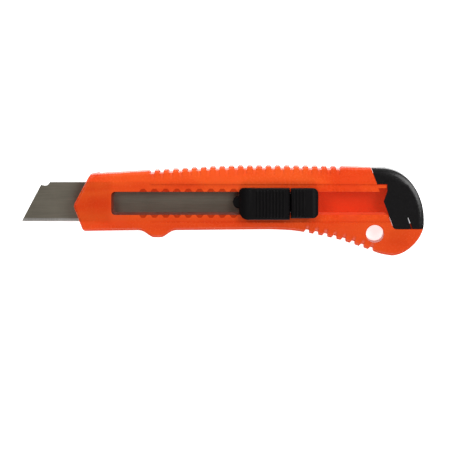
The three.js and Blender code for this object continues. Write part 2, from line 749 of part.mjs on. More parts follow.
// The sliding piece under the slot: a plate over the blade with the stud that holds it, two rails
// under the lips, and a neck that comes up through the slot.
function carrierSolid() {
  const railOut = CHANNEL - GAP;
  const plateTop = PASSAGE_TOP + CARRIER_PLATE;
  const behindBlade = BLADE_TAIL + GAP;
  const nubTop = PASSAGE_TOP + NUB_RISE;
  const pieces = [
    box(STUD_X + NUB_RADIUS, CARRIER_END, -railOut, railOut, PASSAGE_TOP, plateTop),
    box(behindBlade, CARRIER_END, -railOut, railOut, BLADE_Z, plateTop),
    box(STUD_X, NECK_START, -NUB_RADIUS, NUB_RADIUS, PASSAGE_TOP, nubTop),
    post(STUD_X, 0, NUB_RADIUS, PASSAGE_TOP, nubTop),
    post(STUD_X, 0, STUD_RADIUS, BLADE_Z, PASSAGE_TOP + 0.1),
    box(NECK_START, PAD_END, -HALF_NECK, HALF_NECK, PASSAGE_TOP, BODY_THICKNESS),
    pivotEar(1),
    pivotEar(-1),
  ];
  for (const y of [-railOut, railOut - CARRIER_RAIL])
    pieces.push(box(NECK_START, CARRIER_END, y, y + CARRIER_RAIL, PASSAGE_TOP, LIP_Z - GAP));
  const socket = box(
    PEG_X - PEG_LENGTH / 2 - GAP,
    PEG_X + PEG_LENGTH / 2 + GAP,
    -PEG_WIDTH / 2 - GAP,
    PEG_WIDTH / 2 + GAP,
    PAD_Z - PEG_DEPTH - GAP,
    PAD_Z + 1,
  );
  return cut(join(pieces), [socket]);
}

// Fine ribs across the thumb faces, as the points of a side view from x0 to x1.
function thumbRibs(x0, x1) {
  const ribStart = PAD_START + RIBS_FROM_PAD;
  const first = Math.ceil((x0 - ribStart) / RIB_PITCH);
  const points = [];
  for (let i = first; ribStart + (i + 1) * RIB_PITCH <= x1 + 1e-6; i++) {
    const x = ribStart + i * RIB_PITCH;
    points.push(
      point(x, THUMB_Z),
      point(x + 0.25 * RIB_PITCH, THUMB_Z + RIB_HEIGHT),
      point(x + 0.55 * RIB_PITCH, THUMB_Z + RIB_HEIGHT),
      point(x + 0.8 * RIB_PITCH, THUMB_Z),
    );
  }
  return points;
}

function padSolid() {
  const corners = [PAD_FRONT_CORNER, 0, 0, PAD_BACK_CORNER];
  const plan = prism(roundedRectangle(PAD_START, PAD_END, -HALF_PAD, HALF_PAD, corners), 0, FAR);
  const slope = new THREE.QuadraticBezierCurve(
    point(PAD_START, THUMB_Z - PAD_NOSE_DROP),
    point(PAD_START + 0.35 * PAD_SLOPE, THUMB_Z),
    point(PAD_START + PAD_SLOPE, THUMB_Z),
  );
  const side = [
    point(PAD_START, PAD_Z),
    ...slope.getPoints(6),
    ...thumbRibs(PAD_START + RIBS_FROM_PAD, PAD_END),
    point(PAD_END, THUMB_Z),
    point(PAD_END, PAD_Z),
  ];
  const peg = box(
    PEG_X - PEG_LENGTH / 2,
    PEG_X + PEG_LENGTH / 2,
    -PEG_WIDTH / 2,
    PEG_WIDTH / 2,
    PAD_Z - PEG_DEPTH,
    PAD_Z + 0.5,
  );
  return plan.intersect(sidePrism(side, -FAR, FAR)).add(peg);
}

function buttonSolid() {
  const corners = [0, BUTTON_CORNER, BUTTON_CORNER, 0];
  const low = BUTTON_STEP - HALF_PAD;
  const plan = prism(roundedRectangle(BUTTON_START, BUTTON_END, low, HALF_PAD, corners), 0, FAR);
  const side = [
    point(BUTTON_START, BUTTON_Z),
    point(BUTTON_START, THUMB_Z),
    ...thumbRibs(BUTTON_START, BUTTON_END - PLAIN_END),
    point(BUTTON_END - 2, THUMB_Z - 0.3),
    point(BUTTON_END - 0.6, THUMB_Z - 0.8),
    point(BUTTON_END, THUMB_Z - 1.6),
    point(BUTTON_END, BUTTON_Z),
  ];
  const lugReach = HALF_NECK - EAR_WALL - GAP;
  const lug = box(
    PIVOT_X - PIVOT_RADIUS,
    PIVOT_X + PIVOT_RADIUS,
    -lugReach,
    lugReach,
    PIVOT_Z - PIVOT_RADIUS,
    BUTTON_Z + 0.5,
  );
  const wedge = box(
    WEDGE_X - WEDGE_LENGTH / 2,
    WEDGE_X + WEDGE_LENGTH / 2,
    -WEDGE_WIDTH / 2,
    WEDGE_WIDTH / 2,
    LIP_Z - SPRING_HANG,
    BUTTON_Z + 0.5,
  );
  return join([
    plan.intersect(sidePrism(side, -FAR, FAR)),
    lug,
    crossPin(PIVOT_X, PIVOT_Z, PIVOT_RADIUS, GAP - HALF_NECK, HALF_NECK - GAP),
    wedge,
  ]);
}

// The strip spring: round the front of the neck and back along both sides, with a bump in a pair of
// notches, closing in on the lock button's wedge.
function springSolid() {
  const t = SPRING_THICKNESS / 2;
  const arm = HALF_NECK + GAP + t + 0.3;
  const front = NECK_START - GAP - t - 0.6;
  const peak = HALF_SLOT + TOOTH_DEPTH - SPRING_AIR - t;
  const [bottom, top] = [LIP_Z - SPRING_HANG, NOTCH_Z - GAP];
  const line = [
    point(front, 0),
    point(front, arm - 1),
    point(front + 0.3, arm - 0.3),
    point(front + 1, arm),
    point(SPRING_X - 1.7, arm),
    point(SPRING_X - 0.35, peak),
    point(SPRING_X + 0.35, peak),
    point(SPRING_X + 1.7, arm),
    point(PIVOT_X + 2.2, arm),
    point(WEDGE_X - 1.6, WEDGE_WIDTH / 2 + GAP + t),
    point(WEDGE_X + 0.7, WEDGE_WIDTH / 2 + GAP + t),
  ];
  const half = offsetStrip(line, t);
  const mirrored = half.map((p) => point(p.x, -p.y)).reverse();
  return prism(half, bottom, top).add(prism(mirrored, bottom, top));
}

// A strip of half thickness t along an open line, with mitred corners.
function offsetStrip(line, t) {
  const normals = line.slice(1).map((p, i) => {
    const d = p.clone().sub(line[i]).normalize();
    return point(-d.y, d.x);
  });
  const sideOf = (sign) =>
    line.map((p, i) => {
      const before = normals[Math.max(i - 1, 0)];
      const after = normals[Math.min(i, normals.length - 1)];
      const middle = before.clone().add(after).normalize();
      return p.clone().addScaledVector(middle, (sign * t) / middle.dot(after));
    });
  const [left, right] = [sideOf(1), sideOf(-1)];
  left[0].y = 0;
  right[0].y = 0;
  return [...right, ...left.reverse()];
}

// ---- Assembly -----------------------------------------------------------------------------------

function part(name, body, color, roughness, metalness = 0) {
  const material = new THREE.MeshStandardMaterial({ color, roughness, metalness });
  const mesh = new THREE.Mesh(geometryOf(body), material);
  mesh.name = name;
  return mesh;
}

const ORANGE = 0xee4c24;
const BLACK = 0x17181a;
const STEEL = 0x8c8680;
const SPRING_STEEL = 0xb4b2ae;

const housing = new THREE.Group();
housing.add(part("handle", handleSolid(), ORANGE, 0.3));
housing.add(part("end_cap", capSolid(), BLACK, 0.4));

const slider = new THREE.Group();
slider.add(part("blade", bladeSolid(), STEEL, 0.35, 1));
slider.add(part("blade_carrier", carrierSolid(), BLACK, 0.45));
slider.add(part("detent_spring", springSolid(), SPRING_STEEL, 0.3, 1));
slider.add(part("thumb_pad", padSolid(), BLACK, 0.5));
slider.add(part("lock_button", buttonSolid(), BLACK, 0.5));

const knife = new THREE.Group();
knife.add(housing, slider);

// The origin goes to the bottom centre of the knife at rest.
const extent = new THREE.Box3().setFromObject(knife);
const middle = extent.getCenter(new THREE.Vector3());
for (const group of [housing, slider]) group.position.set(-middle.x, -middle.y, -extent.min.z);

export default knife;
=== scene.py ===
import math

import bmesh
import bpy
from mathutils import Matrix, Vector
from mathutils.geometry import interpolate_bezier


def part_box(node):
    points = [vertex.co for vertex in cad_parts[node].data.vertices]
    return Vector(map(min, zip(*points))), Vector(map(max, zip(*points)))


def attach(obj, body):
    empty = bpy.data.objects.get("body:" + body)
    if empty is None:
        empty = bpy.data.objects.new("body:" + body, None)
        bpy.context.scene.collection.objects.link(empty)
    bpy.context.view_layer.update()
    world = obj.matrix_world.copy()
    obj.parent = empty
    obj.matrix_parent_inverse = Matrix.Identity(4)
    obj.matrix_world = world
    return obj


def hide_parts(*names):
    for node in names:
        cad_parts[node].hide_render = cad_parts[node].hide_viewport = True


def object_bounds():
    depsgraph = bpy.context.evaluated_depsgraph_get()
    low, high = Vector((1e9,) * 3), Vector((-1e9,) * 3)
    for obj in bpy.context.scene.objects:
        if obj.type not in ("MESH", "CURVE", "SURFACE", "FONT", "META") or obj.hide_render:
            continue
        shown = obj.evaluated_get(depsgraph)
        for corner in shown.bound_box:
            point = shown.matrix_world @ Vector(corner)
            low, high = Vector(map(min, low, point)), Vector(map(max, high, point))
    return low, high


bl_info = {
    "name": "Snap-off utility knife",
    "version": (1, 0, 0),
    "blender": (4, 5, 0),
    "location": "3D View > Sidebar > Knife",
    "description": "Builds a snap-off utility knife with a see-through moulded handle",
    "category": "Add Mesh",
}

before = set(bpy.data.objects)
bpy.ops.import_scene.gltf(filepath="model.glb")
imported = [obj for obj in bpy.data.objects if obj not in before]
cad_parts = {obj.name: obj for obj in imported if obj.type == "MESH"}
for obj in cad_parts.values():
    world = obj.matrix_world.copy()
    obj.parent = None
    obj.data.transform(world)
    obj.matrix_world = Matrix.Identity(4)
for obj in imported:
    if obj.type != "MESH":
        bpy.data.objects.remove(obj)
CAD_LOW, CAD_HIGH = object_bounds()

MM = 0.001
FAR = 60.0  # well past the knife, for shapes that only cut

_, CAP_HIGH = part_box("end_cap")
BLADE_LOW, BLADE_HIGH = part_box("blade")
CARRIER_LOW, CARRIER_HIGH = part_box("blade_carrier")
SPRING_LOW, SPRING_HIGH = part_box("detent_spring")
PAD_LOW, PAD_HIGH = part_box("thumb_pad")
BUTTON_LOW, BUTTON_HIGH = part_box("lock_button")
_, HANDLE_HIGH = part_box("handle")

# The knife's own coordinates start at HOME in the frame: along from the nose's tip, up from the
# middle of the blade, and out from the back face. All sizes below are millimetres in them.
LENGTH = 159.2
HOME = Vector((CAP_HIGH.x - LENGTH * MM, (BLADE_LOW.y + BLADE_HIGH.y) / 2, 0.0))


def along(x):
    """A frame X as millimetres from the nose's tip."""
    return (x - HOME.x) / MM


def across(y):
    """A frame Y as millimetres from the middle of the blade."""
    return (y - HOME.y) / MM


# Measures that several pieces share.
THICK = HANDLE_HIGH.z / MM
HALF_BLADE = 9.0  # half the blade's width
GROUND = 1.5  # width of the blade's ground band
SLANT = math.radians(28)  # of the blade's point and its score lines
CHANNEL = 9.3  # half the width of the channel that the carrier runs in
MOUTH = 11  # length of the narrow mouth at the nose, which only the blade fits
SOLE = -CHANNEL - 2.57  # the end cap's lower side
LEAN = math.radians(20.4)  # of the end cap's front edge
GAP = 0.3  # between neighbouring pieces
WALL = 2.0  # back wall of the handle
LIP = 2.4  # from the face down to the underside of the slot's lips
SKIN = 0.8  # plastic left between the recess and the notches
TONGUE = 4.3  # reach of the upper lip's tongue into the cap
TONGUE_TOP = 3.25  # its upper side, from the slot's side
HOOK_RAIL = (2.2, 2.1, 1.9)  # the cap's rail: from the rear end, its height, half its width
TEETH = 22  # pairs of notches
REST_TOOTH = 12  # the notch that the spring rests in, with the front one as 0
OVER_BLADE = 3.1  # height of the carrier's plate above the back face
NUB = 2.8  # radius of the carrier's round front end
STUD = along(CARRIER_LOW.x) + NUB
NECK_START = STUD + 7.75
NECK_AIR = 1.55  # from the carrier's neck to the slot's side
PEG = (NECK_START + along(PAD_HIGH.x)) / 2
PEG_SIZE = (3.7, 1.2, 3)  # half the length, half the width and the depth of the thumb pad's peg
PIVOT_X, PIVOT_Z = along(PAD_HIGH.x) + 2.3, THICK - 0.8
PIVOT_RADIUS = 0.9
WEDGE = along(CARRIER_HIGH.x) - 1.0  # middle of the lock button's wedge


# ---- Sizes and colours that a user would change ----


def millimetres(name, description, default):
    return bpy.props.FloatProperty(
        name=name, description=description, default=default * MM, unit="LENGTH", precision=5
    )


def colour(name, description, default):
    return bpy.props.FloatVectorProperty(
        name=name, description=description, default=default, subtype="COLOR", size=3, min=0, max=1
    )


class KnifeSizes(bpy.types.PropertyGroup):
    """Sizes of the details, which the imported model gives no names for."""

    edge: millimetres("Edge rounding", "Rounding of the handle's long edges", 1.4)
    crisp: millimetres("Crisp edges", "Rounding of cut edges in moulded plastic", 0.14)
    slot_half: millimetres("Half slot", "Half the width of the thumb slot", 5.15)
    slot_start: millimetres("Slot start", "From the nose's tip to the slot", 17.4)
    slot_corner: millimetres("Slot corner", "Rounding of the slot's front corners", 1.6)
    recess_half: millimetres("Half recess", "Half the width of the recess round the slot", 8.7)
    recess_start: millimetres("Recess start", "From the nose's tip to the recess", 36.0)
    recess_depth: millimetres("Recess depth", "Depth of the recess round the slot", 0.6)
    tooth_pitch: millimetres("Notch pitch", "From one detent notch to the next", 5.13)
    tooth_start: millimetres("First notch", "From the nose's tip to the first notch", 31.7)
    tooth_depth: millimetres("Notch depth", "Depth of the notches into the slot's lips", 1.5)
    tooth_mouth: millimetres("Notch mouth", "Width of a notch at the slot", 3.9)
    tooth_floor: millimetres("Notch floor", "Width of a notch at its floor", 1.6)
    groove_width: millimetres("Groove width", "Width of a grip groove", 2.4)
    groove_depth: millimetres("Groove depth", "Depth of a grip groove", 1.3)
    hole_radius: millimetres("Lanyard hole", "Radius of the lanyard hole", 4.0)
    cap_bevel: millimetres("Cap bevel", "Width of the end cap's bevelled rim", 2.6)
    rib_pitch: millimetres("Rib pitch", "From one thumb rib to the next", 1.5)
    rib_height: millimetres("Rib height", "Height of the thumb ribs", 0.45)


class KnifeColours(bpy.types.PropertyGroup):
    """Colours of the materials."""

    orange: colour("Orange", "Moulded handle", (0.58, 0.052, 0.005))
    # Painted glow: an emission colour that makes the plastic glow, standing in for light carried
    # through it.
    painted_glow: colour("Glow", "Light held in the see-through plastic", (1.0, 0.07, 0.018))
    orange_depth: colour("Orange depth", "Tint of light through the handle", (1.0, 0.34, 0.2))
    black: colour("Black", "End cap, slider and thumb pieces", (0.0026, 0.0022, 0.0024))
    steel: colour("Steel", "Flat of the blade", (0.1, 0.089, 0.07))
    ground: colour("Ground edge", "Ground band of the blade", (0.36, 0.34, 0.32))
    strip: colour("Spring strip", "Detent spring", (0.5, 0.49, 0.47))
    floor: colour("Floor", "Floor of the studio", (0.93, 0.93, 0.93))


def sizes():
    """The sizes in millimetres, by name."""
    group = bpy.context.scene.knife_sizes
    return {name: getattr(group, name) / MM for name in KnifeSizes.__annotations__}


def colours():
    """The colours, by name."""
    return bpy.context.scene.knife_colours


# ---- Outlines ----


def spline(knots, steps):
    """Points of a smooth line through the knots."""
    points = []
    last = len(knots) - 1
    for i in range(steps + 1):
        place = i / steps * last
        k = min(int(place), last - 1)
        t = place - k
        p0 = knots[k if k == 0 else k - 1]
        p1, p2 = knots[k], knots[k + 1]
        p3 = knots[min(k + 2, last)]
        points.append(
            tuple(
                b
                + 0.5 * (c - a) * t
                + 0.5 * (2 * a - 5 * b + 4 * c - d) * t**2
                + 0.5 * (3 * b - a - 3 * c + d) * t**3
                for a, b, c, d in zip(p0, p1, p2, p3)
            )
        )
    return points


def bezier(p0, h0, h1, p1, steps):
    ends = [Vector((*p, 0)) for p in (p0, h0, h1, p1)]
    return [(p.x, p.y) for p in interpolate_bezier(*ends, steps + 1)]


def arc(x, y, radius, start, end, steps):
    """Points of an arc, with its angles in degrees."""
    turns = [math.radians(start + (end - start) * i / steps) for i in range(steps + 1)]
    return [(x + radius * math.cos(a), y + radius * math.sin(a)) for a in turns]


def rounded(x0, x1, y0, y1, radii, steps=8):
    """A rectangle with its own radius at each corner, going round from its lowest corner."""
    a, b, c, d = radii
    outline = arc(x0 + a, y0 + a, a, 180, 270, steps) if a else [(x0, y0)]
    outline += arc(x1 - b, y0 + b, b, 270, 360, steps) if b else [(x1, y0)]
    outline += arc(x1 - c, y1 - c, c, 0, 90, steps) if c else [(x1, y1)]
    outline += arc(x0 + d, y1 - d, d, 90, 180, steps) if d else [(x0, y1)]
    return outline


def corner(before, at, after, reach, steps=7):
    """A rounded corner of an outline."""
    a, b, c = Vector(before), Vector(at), Vector(after)
    start = b + (a - b).normalized() * reach
    end = b + (c - b).normalized() * reach
    third = 2 / 3
    return bezier(start, start.lerp(b, third), end.lerp(b, third), end, steps)


LOWEST = (LENGTH - 14.6, -HALF_BLADE - 15)


def back_line():
    """The arched upper edge, from the nose to the start of the round end."""
    low, rise = HALF_BLADE + 4, 3.8
    knots = [(7.7, 0), (0.21 * LENGTH, 0.4), (0.4 * LENGTH, 0.88), (0.53 * LENGTH, 1)]
    knots += [(0.71 * LENGTH, 0.94), (LENGTH - 19.6, 0.76)]
    return spline([(x, low + share * rise) for x, share in knots], 110)


def belly_line():
    """The lower edge, from the hook's lowest point forward to the waist."""
    front, waist = LENGTH - 71.2, -HALF_BLADE - 3
    run, rise = LOWEST[0] - front, waist - LOWEST[1]
    shares = [(0, 0), (0.092, 0.078), (0.193, 0.25), (0.415, 0.6), (0.645, 0.845), (0.815, 0.966)]
    knots = [(LOWEST[0] - a * run, LOWEST[1] + b * rise) for a, b in shares]
    return spline([*knots, (front, waist)], 80)[1:]


def guard_line():
    """The finger guard's bulge below the nose, from its rear to its front."""
    level = -HALF_BLADE - 3.4
    tip = level - 3.3
    rise = bezier((47.2, level), (43.4, level), (42, tip), (39.4, tip), 18)
    fall = bezier((37.1, tip), (34.3, tip), (32.9, level), (29.4, level), 18)
    return rise + fall


def end_line(start):
    """The round rear end, down from the back to the hook."""
    end = (LENGTH, SOLE + 3.9)
    return bezier(start, (start[0] + 11, start[1]), (end[0], end[1] + 13.6), end, 48)[1:]


def hook_line():
    """The hook's outer edge, from the rear end to its lowest point."""
    start = (LENGTH, SOLE + 2.4)
    return bezier(start, (LENGTH, start[1] - 6.5), (LOWEST[0] + 6.9, LOWEST[1]), LOWEST, 36)


BACK = back_line()
BELLY = belly_line()


def body_outline():
    """The whole outline of the handle and the cap, going round from the nose."""
    guard = guard_line()
    tip, chin = (0.0, -1.15), (4.4, -HALF_BLADE - 3.8)
    nose_round = 1.4
    return [
        *corner(BACK[0], tip, chin, nose_round),
        *corner(tip, chin, guard[-1], nose_round),
        *reversed(guard),
        *reversed(BELLY),
        *reversed(hook_line()),
        *reversed(end_line(BACK[-1])),
        *reversed(BACK[2:]),
        *corner(BACK[3], BACK[0], tip, nose_round),
    ]


def spot_on(line, x):
    """The point of a line at x, with the line's direction there."""
    for a, b in zip(line, line[1:]):
        if (a[0] - x) * (b[0] - x) <= 0 and a[0] != b[0]:
            a, b = sorted((a, b))
            share = (x - a[0]) / (b[0] - a[0])
            return x, a[1] + share * (b[1] - a[1]), math.atan2(b[1] - a[1], b[0] - a[0])
    raise RuntimeError(f"the line doesn't reach {x}")


def joint_x(y):
    """X of the end cap's slanting front edge at a height."""
    return LENGTH - 18.2 - y * math.tan(LEAN)


def cap_region(clearance):
    """All that lies behind the slanting edge and above the cap's sole."""
    side, sole, far = clearance / math.cos(LEAN), SOLE + clearance, LENGTH + FAR
    top, heel, end = (joint_x(FAR) + side, FAR), (joint_x(sole) + side, sole), (far, sole)
    reach = 2 * math.tan((math.pi / 2 - LEAN) / 2)
    return [top, *corner(top, heel, end, reach, 8), end, (far, FAR)]


def behind_joint(y0, y1, end):
    """Between two heights, from a little in front of the cap's edge back to an end."""
    return [(joint_x(y0) - 1, y0), (end, y0), (end, y1), (joint_x(y1) - 1, y1)]


def cheek_outline(grow):
    """The handle's tongue above the channel, which reaches into the cap."""
    low, high = CHANNEL + 0.4 - grow, CHANNEL + 3.7 + grow
    reach = 6 + grow
    return [
        (joint_x(low) - 1, low),
        (joint_x(low) + reach, low),
        (joint_x(high) + reach, high),
        (joint_x(high) - 1, high),
    ]


def floor_tongue(grow):
    """The end of the channel's floor, which reaches into the cap."""
    top, turn = CHANNEL - 0.4 + grow, 2 + grow
    start, end = joint_x(top) - 1, joint_x(0) + 5.5 + grow
    return rounded(start, end, 2.1 - grow - CHANNEL, top, (0, turn, turn, 0))


# ---- Closed shapes ----


def area_of(outline):
    pairs = zip(outline, [*outline[1:], outline[0]])
    return sum(a[0] * b[1] - b[0] * a[1] for a, b in pairs) / 2


def inset(outline, distance):
    """The outline moved inwards, corner by corner."""
    count = len(outline)
    moved = []
    for i, p in enumerate(outline):
        a, b, c = (Vector(q) for q in (outline[i - 1], p, outline[(i + 1) % count]))
        before, after = (b - a).normalized(), (c - b).normalized()
        first, second = Vector((-before.y, before.x)), Vector((-after.y, after.x))
        middle = (first + second).normalized()
        moved.append(tuple(b + middle * (distance / max(middle.dot(second), 0.5))))
    return moved


def loft(rings):
    """A closed shape through rings of the same number of points, capped at both ends."""
    shape = bmesh.new()
    made = [[shape.verts.new(p) for p in ring] for ring in rings]
    for low, high in zip(made, made[1:]):
        for i in range(len(low)):
            j = (i + 1) % len(low)
            shape.faces.new((low[i], low[j], high[j], high[i]))
    shape.faces.new(list(reversed(made[0])))
    shape.faces.new(made[-1])
    return shape


def prism(outline, z0, z1):
    points = outline if area_of(outline) > 0 else list(reversed(outline))
    return loft([[(x, y, z) for x, y in points] for z in (z0, z1)])


def rimmed(outline, z0, z1, width, depth, steps):
    """A prism with its rims rounded, or bevelled in one step."""
    points = outline if area_of(outline) > 0 else list(reversed(outline))
    levels = []
    for i in range(steps + 1):
        turn = i / steps * math.pi / 2
        levels.append((width * (1 - math.sin(turn)), depth * (1 - math.cos(turn))))
    low = [[(x, y, z0 + up) for x, y in inset(points, away)] for away, up in levels]
    high = [[(x, y, z1 - up) for x, y in inset(points, away)] for away, up in reversed(levels)]
    return loft(low + high)


def box(x0, x1, y0, y1, z0, z1):
    return prism([(x0, y0), (x1, y0), (x1, y1), (x0, y1)], z0, z1)


def side_prism(outline, y0, y1):
    """An outline in X and Z, standing from y0 to y1."""
    points = outline if area_of(outline) < 0 else list(reversed(outline))
    return loft([[(x, y, z) for x, z in points] for y in (y0, y1)])


def post(x, y, radius, z0, z1, sides=48):
    return prism(arc(x, y, radius, 0, 360 - 360 / sides, sides - 1), z0, z1)


def cross_pin(x, z, radius, y0, y1, sides=32):
    return side_prism(arc(x, z, radius, 0, 360 - 360 / sides, sides - 1), y0, y1)


def turned(profile, x, y, sides=64):
    """A closed shape turned about an upright axis, from (radius, z) points off the axis."""
    rings = []
    for radius, z in profile:
        steps = [2 * math.pi * i / sides for i in range(sides)]
        rings.append([(x + radius * math.cos(a), y + radius * math.sin(a), z) for a in steps])
    return loft(rings)


def placed(shape, matrix):
    bmesh.ops.transform(shape, matrix=matrix, verts=shape.verts)
    return shape


def gathered(shapes):
    """Several shapes in one mesh."""
    whole = bmesh.new()
    for shape in shapes:
        mesh = bpy.data.meshes.new("part_shape")
        shape.to_mesh(mesh)
        shape.free()
        whole.from_mesh(mesh)
        bpy.data.meshes.remove(mesh)
    return whole


def as_object(name, shape):
    mesh = bpy.data.meshes.new(name)
    bmesh.ops.recalc_face_normals(shape, faces=shape.faces)
    shape.to_mesh(mesh)
    shape.free()
    made = bpy.data.objects.new(name, mesh)
    bpy.context.scene.collection.objects.link(made)
    return made


def drop(obj):
    mesh = obj.data
    bpy.data.objects.remove(obj)
    bpy.data.meshes.remove(mesh)


def as_shape(obj):
    """The closed shape of an object, which goes."""
    shape = bmesh.new()
    shape.from_mesh(obj.data)
    drop(obj)
    return shape


def settle(obj):
    """Applies the modifiers of a piece."""
    view = bpy.context.evaluated_depsgraph_get()
    mesh = bpy.data.meshes.new_from_object(obj.evaluated_get(view))
    old = obj.data
    obj.modifiers.clear()
    obj.data = mesh
    bpy.data.meshes.remove(old)
    mesh.name = obj.name


def combine(obj, shapes, operation):
    """Cuts shapes from a piece, joins them to it or keeps what is common."""
    for shape in shapes:
        tool = as_object("tool", shape)
        step = obj.modifiers.new("combine", "BOOLEAN")
        step.operation, step.solver, step.object = operation, "MANIFOLD", tool
        settle(obj)
        drop(tool)
        if not obj.data.polygons:
            raise RuntimeError(f"{obj.name} vanished in a {operation.lower()}")


def cut(obj, *shapes):
    combine(obj, shapes, "DIFFERENCE")


def weld(obj, *shapes):
    combine(obj, shapes, "UNION")


def keep(obj, *shapes):
    combine(obj, shapes, "INTERSECT")


def soften(obj, width, angle, segments):
    """Small rounds on the crisp edges, with the light running smoothly over them."""
    step = obj.modifiers.new("crisp_edges", "BEVEL")
    step.width, step.segments, step.limit_method = width * MM, segments, "ANGLE"
    step.angle_limit = math.radians(angle)
    step.miter_outer = "MITER_ARC"
    shading = obj.modifiers.new("even_light", "WEIGHTED_NORMAL")
    shading.keep_sharp = True
    shading.weight = 60


def finish_piece(obj, body, nodes, material, width, angle=32, segments=2):
    """Moves a piece from the knife's own millimetres into the frame and hands it over."""
    shape = bmesh.new()
    shape.from_mesh(obj.data)
    into_frame = Matrix.Translation(HOME) @ Matrix.Scale(MM, 4)
    bmesh.ops.transform(shape, matrix=into_frame, verts=shape.verts)
    tiny = 2e-6
    bmesh.ops.remove_doubles(shape, verts=shape.verts, dist=tiny)
    bmesh.ops.dissolve_degenerate(shape, edges=shape.edges, dist=tiny)
    limit = math.radians(angle)
    for face in shape.faces:
        face.smooth = True
    for edge in shape.edges:
        edge.smooth = len(edge.link_faces) == 2 and edge.calc_face_angle(0) < limit
    shape.to_mesh(obj.data)
    shape.free()
    obj.data.materials.clear()
    obj.data.materials.append(material)
    soften(obj, width, angle, segments)
    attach(obj, body)
    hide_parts(*nodes)


# ---- Material maths ----


class Value:
    """A socket of a material's nodes. Sums and products of it add the nodes that work them out."""

    def __init__(self, tree, socket=None):
        self.tree, self.socket = tree, socket

    def node(self, kind, settings=None, inputs=None, output=0):
        """Adds a node: its type, its settings, then the values or links of its sockets."""
        made = self.tree.nodes.new("ShaderNode" + kind)
        for name, value in (settings or {}).items():
            setattr(made, name, value)
        for name, value in (inputs or {}).items():
            if isinstance(value, Value):
                self.tree.links.new(value.socket, made.inputs[name])
            else:
                made.inputs[name].default_value = value
        return Value(self.tree, made.outputs[output])

    def out(self, name):
        return Value(self.tree, self.socket.node.outputs[name])

    def maths(self, operation, *values):
        return self.node("Math", {"operation": operation}, dict(enumerate(values)))

    def __add__(self, other):
        return self.maths("ADD", self, other)

    def __radd__(self, other):
        return self.maths("ADD", other, self)

    def __sub__(self, other):
        return self.maths("SUBTRACT", self, other)

    def __rsub__(self, other):
        return self.maths("SUBTRACT", other, self)

    def __mul__(self, other):
        return self.maths("MULTIPLY", self, other)

    def __truediv__(self, other):
        return self.maths("DIVIDE", self, other)

    def size(self):
        return self.maths("ABSOLUTE", self)

    def between(self, low, high):
        """0 below low, 1 above high, with a smooth run between."""
        settings = {"interpolation_type": "SMOOTHSTEP"}
        inputs = {"Value": self, "From Min": low, "From Max": high, "To Min": 0.0, "To Max": 1.0}
        return self.node("MapRange", settings, inputs)

    def mix(self, low, high):
        """A colour between two, with this value as the share of the second."""
        ends = [v if isinstance(v, Value) else (*v, 1) for v in (low, high)]
        return self.node("Mix", {"data_type": "RGBA"}, {0: self, 6: ends[0], 7: ends[1]}, 2)


def new_material(name):
    """An empty material, with the start of its nodes."""
    material = bpy.data.materials.new(name)
    material.use_nodes = True
    material.node_tree.nodes.clear()
    return material, Value(material.node_tree)


def knife_place(start):
    """The place in the frame, then along, up and out on the knife in millimetres."""
    place = start.node("TexCoord").out("Object")
    parts = start.node("SeparateXYZ", None, {0: place})
    x, y, z = (parts.out(axis) for axis in "XYZ")
    per_mm = 1 / MM
    return place, (x - HOME.x) * per_mm, (y - HOME.y) * per_mm, z * per_mm


def stretched(start, place, scale):
    """A place whose grain runs longer along the axes with a small scale."""
    return start.node("Mapping", None, {"Vector": place, "Scale": scale})


def grain(start, place, scale, detail=3.0, roughness=0.5):
    inputs = {"Vector": place, "Scale": scale, "Detail": detail, "Roughness": roughness}
    return start.node("TexNoise", None, inputs)


def bump(start, height, strength, distance):
    inputs = {"Height": height, "Strength": strength, "Distance": distance}
    return start.node("Bump", None, inputs)


def shader(start, inputs, clear=None, tint=None):
    """A plain surface, or one mixed with tinted clearness."""
    surface = start.node("BsdfPrincipled", None, inputs)
    if clear is not None:
        pane = start.node("BsdfTransparent", None, {"Color": (*tint, 1)})
        surface = start.node("MixShader", None, {0: clear, 1: surface, 2: pane})
    output = start.tree.nodes.new("ShaderNodeOutputMaterial")
    start.tree.links.new(surface.socket, output.inputs["Surface"])


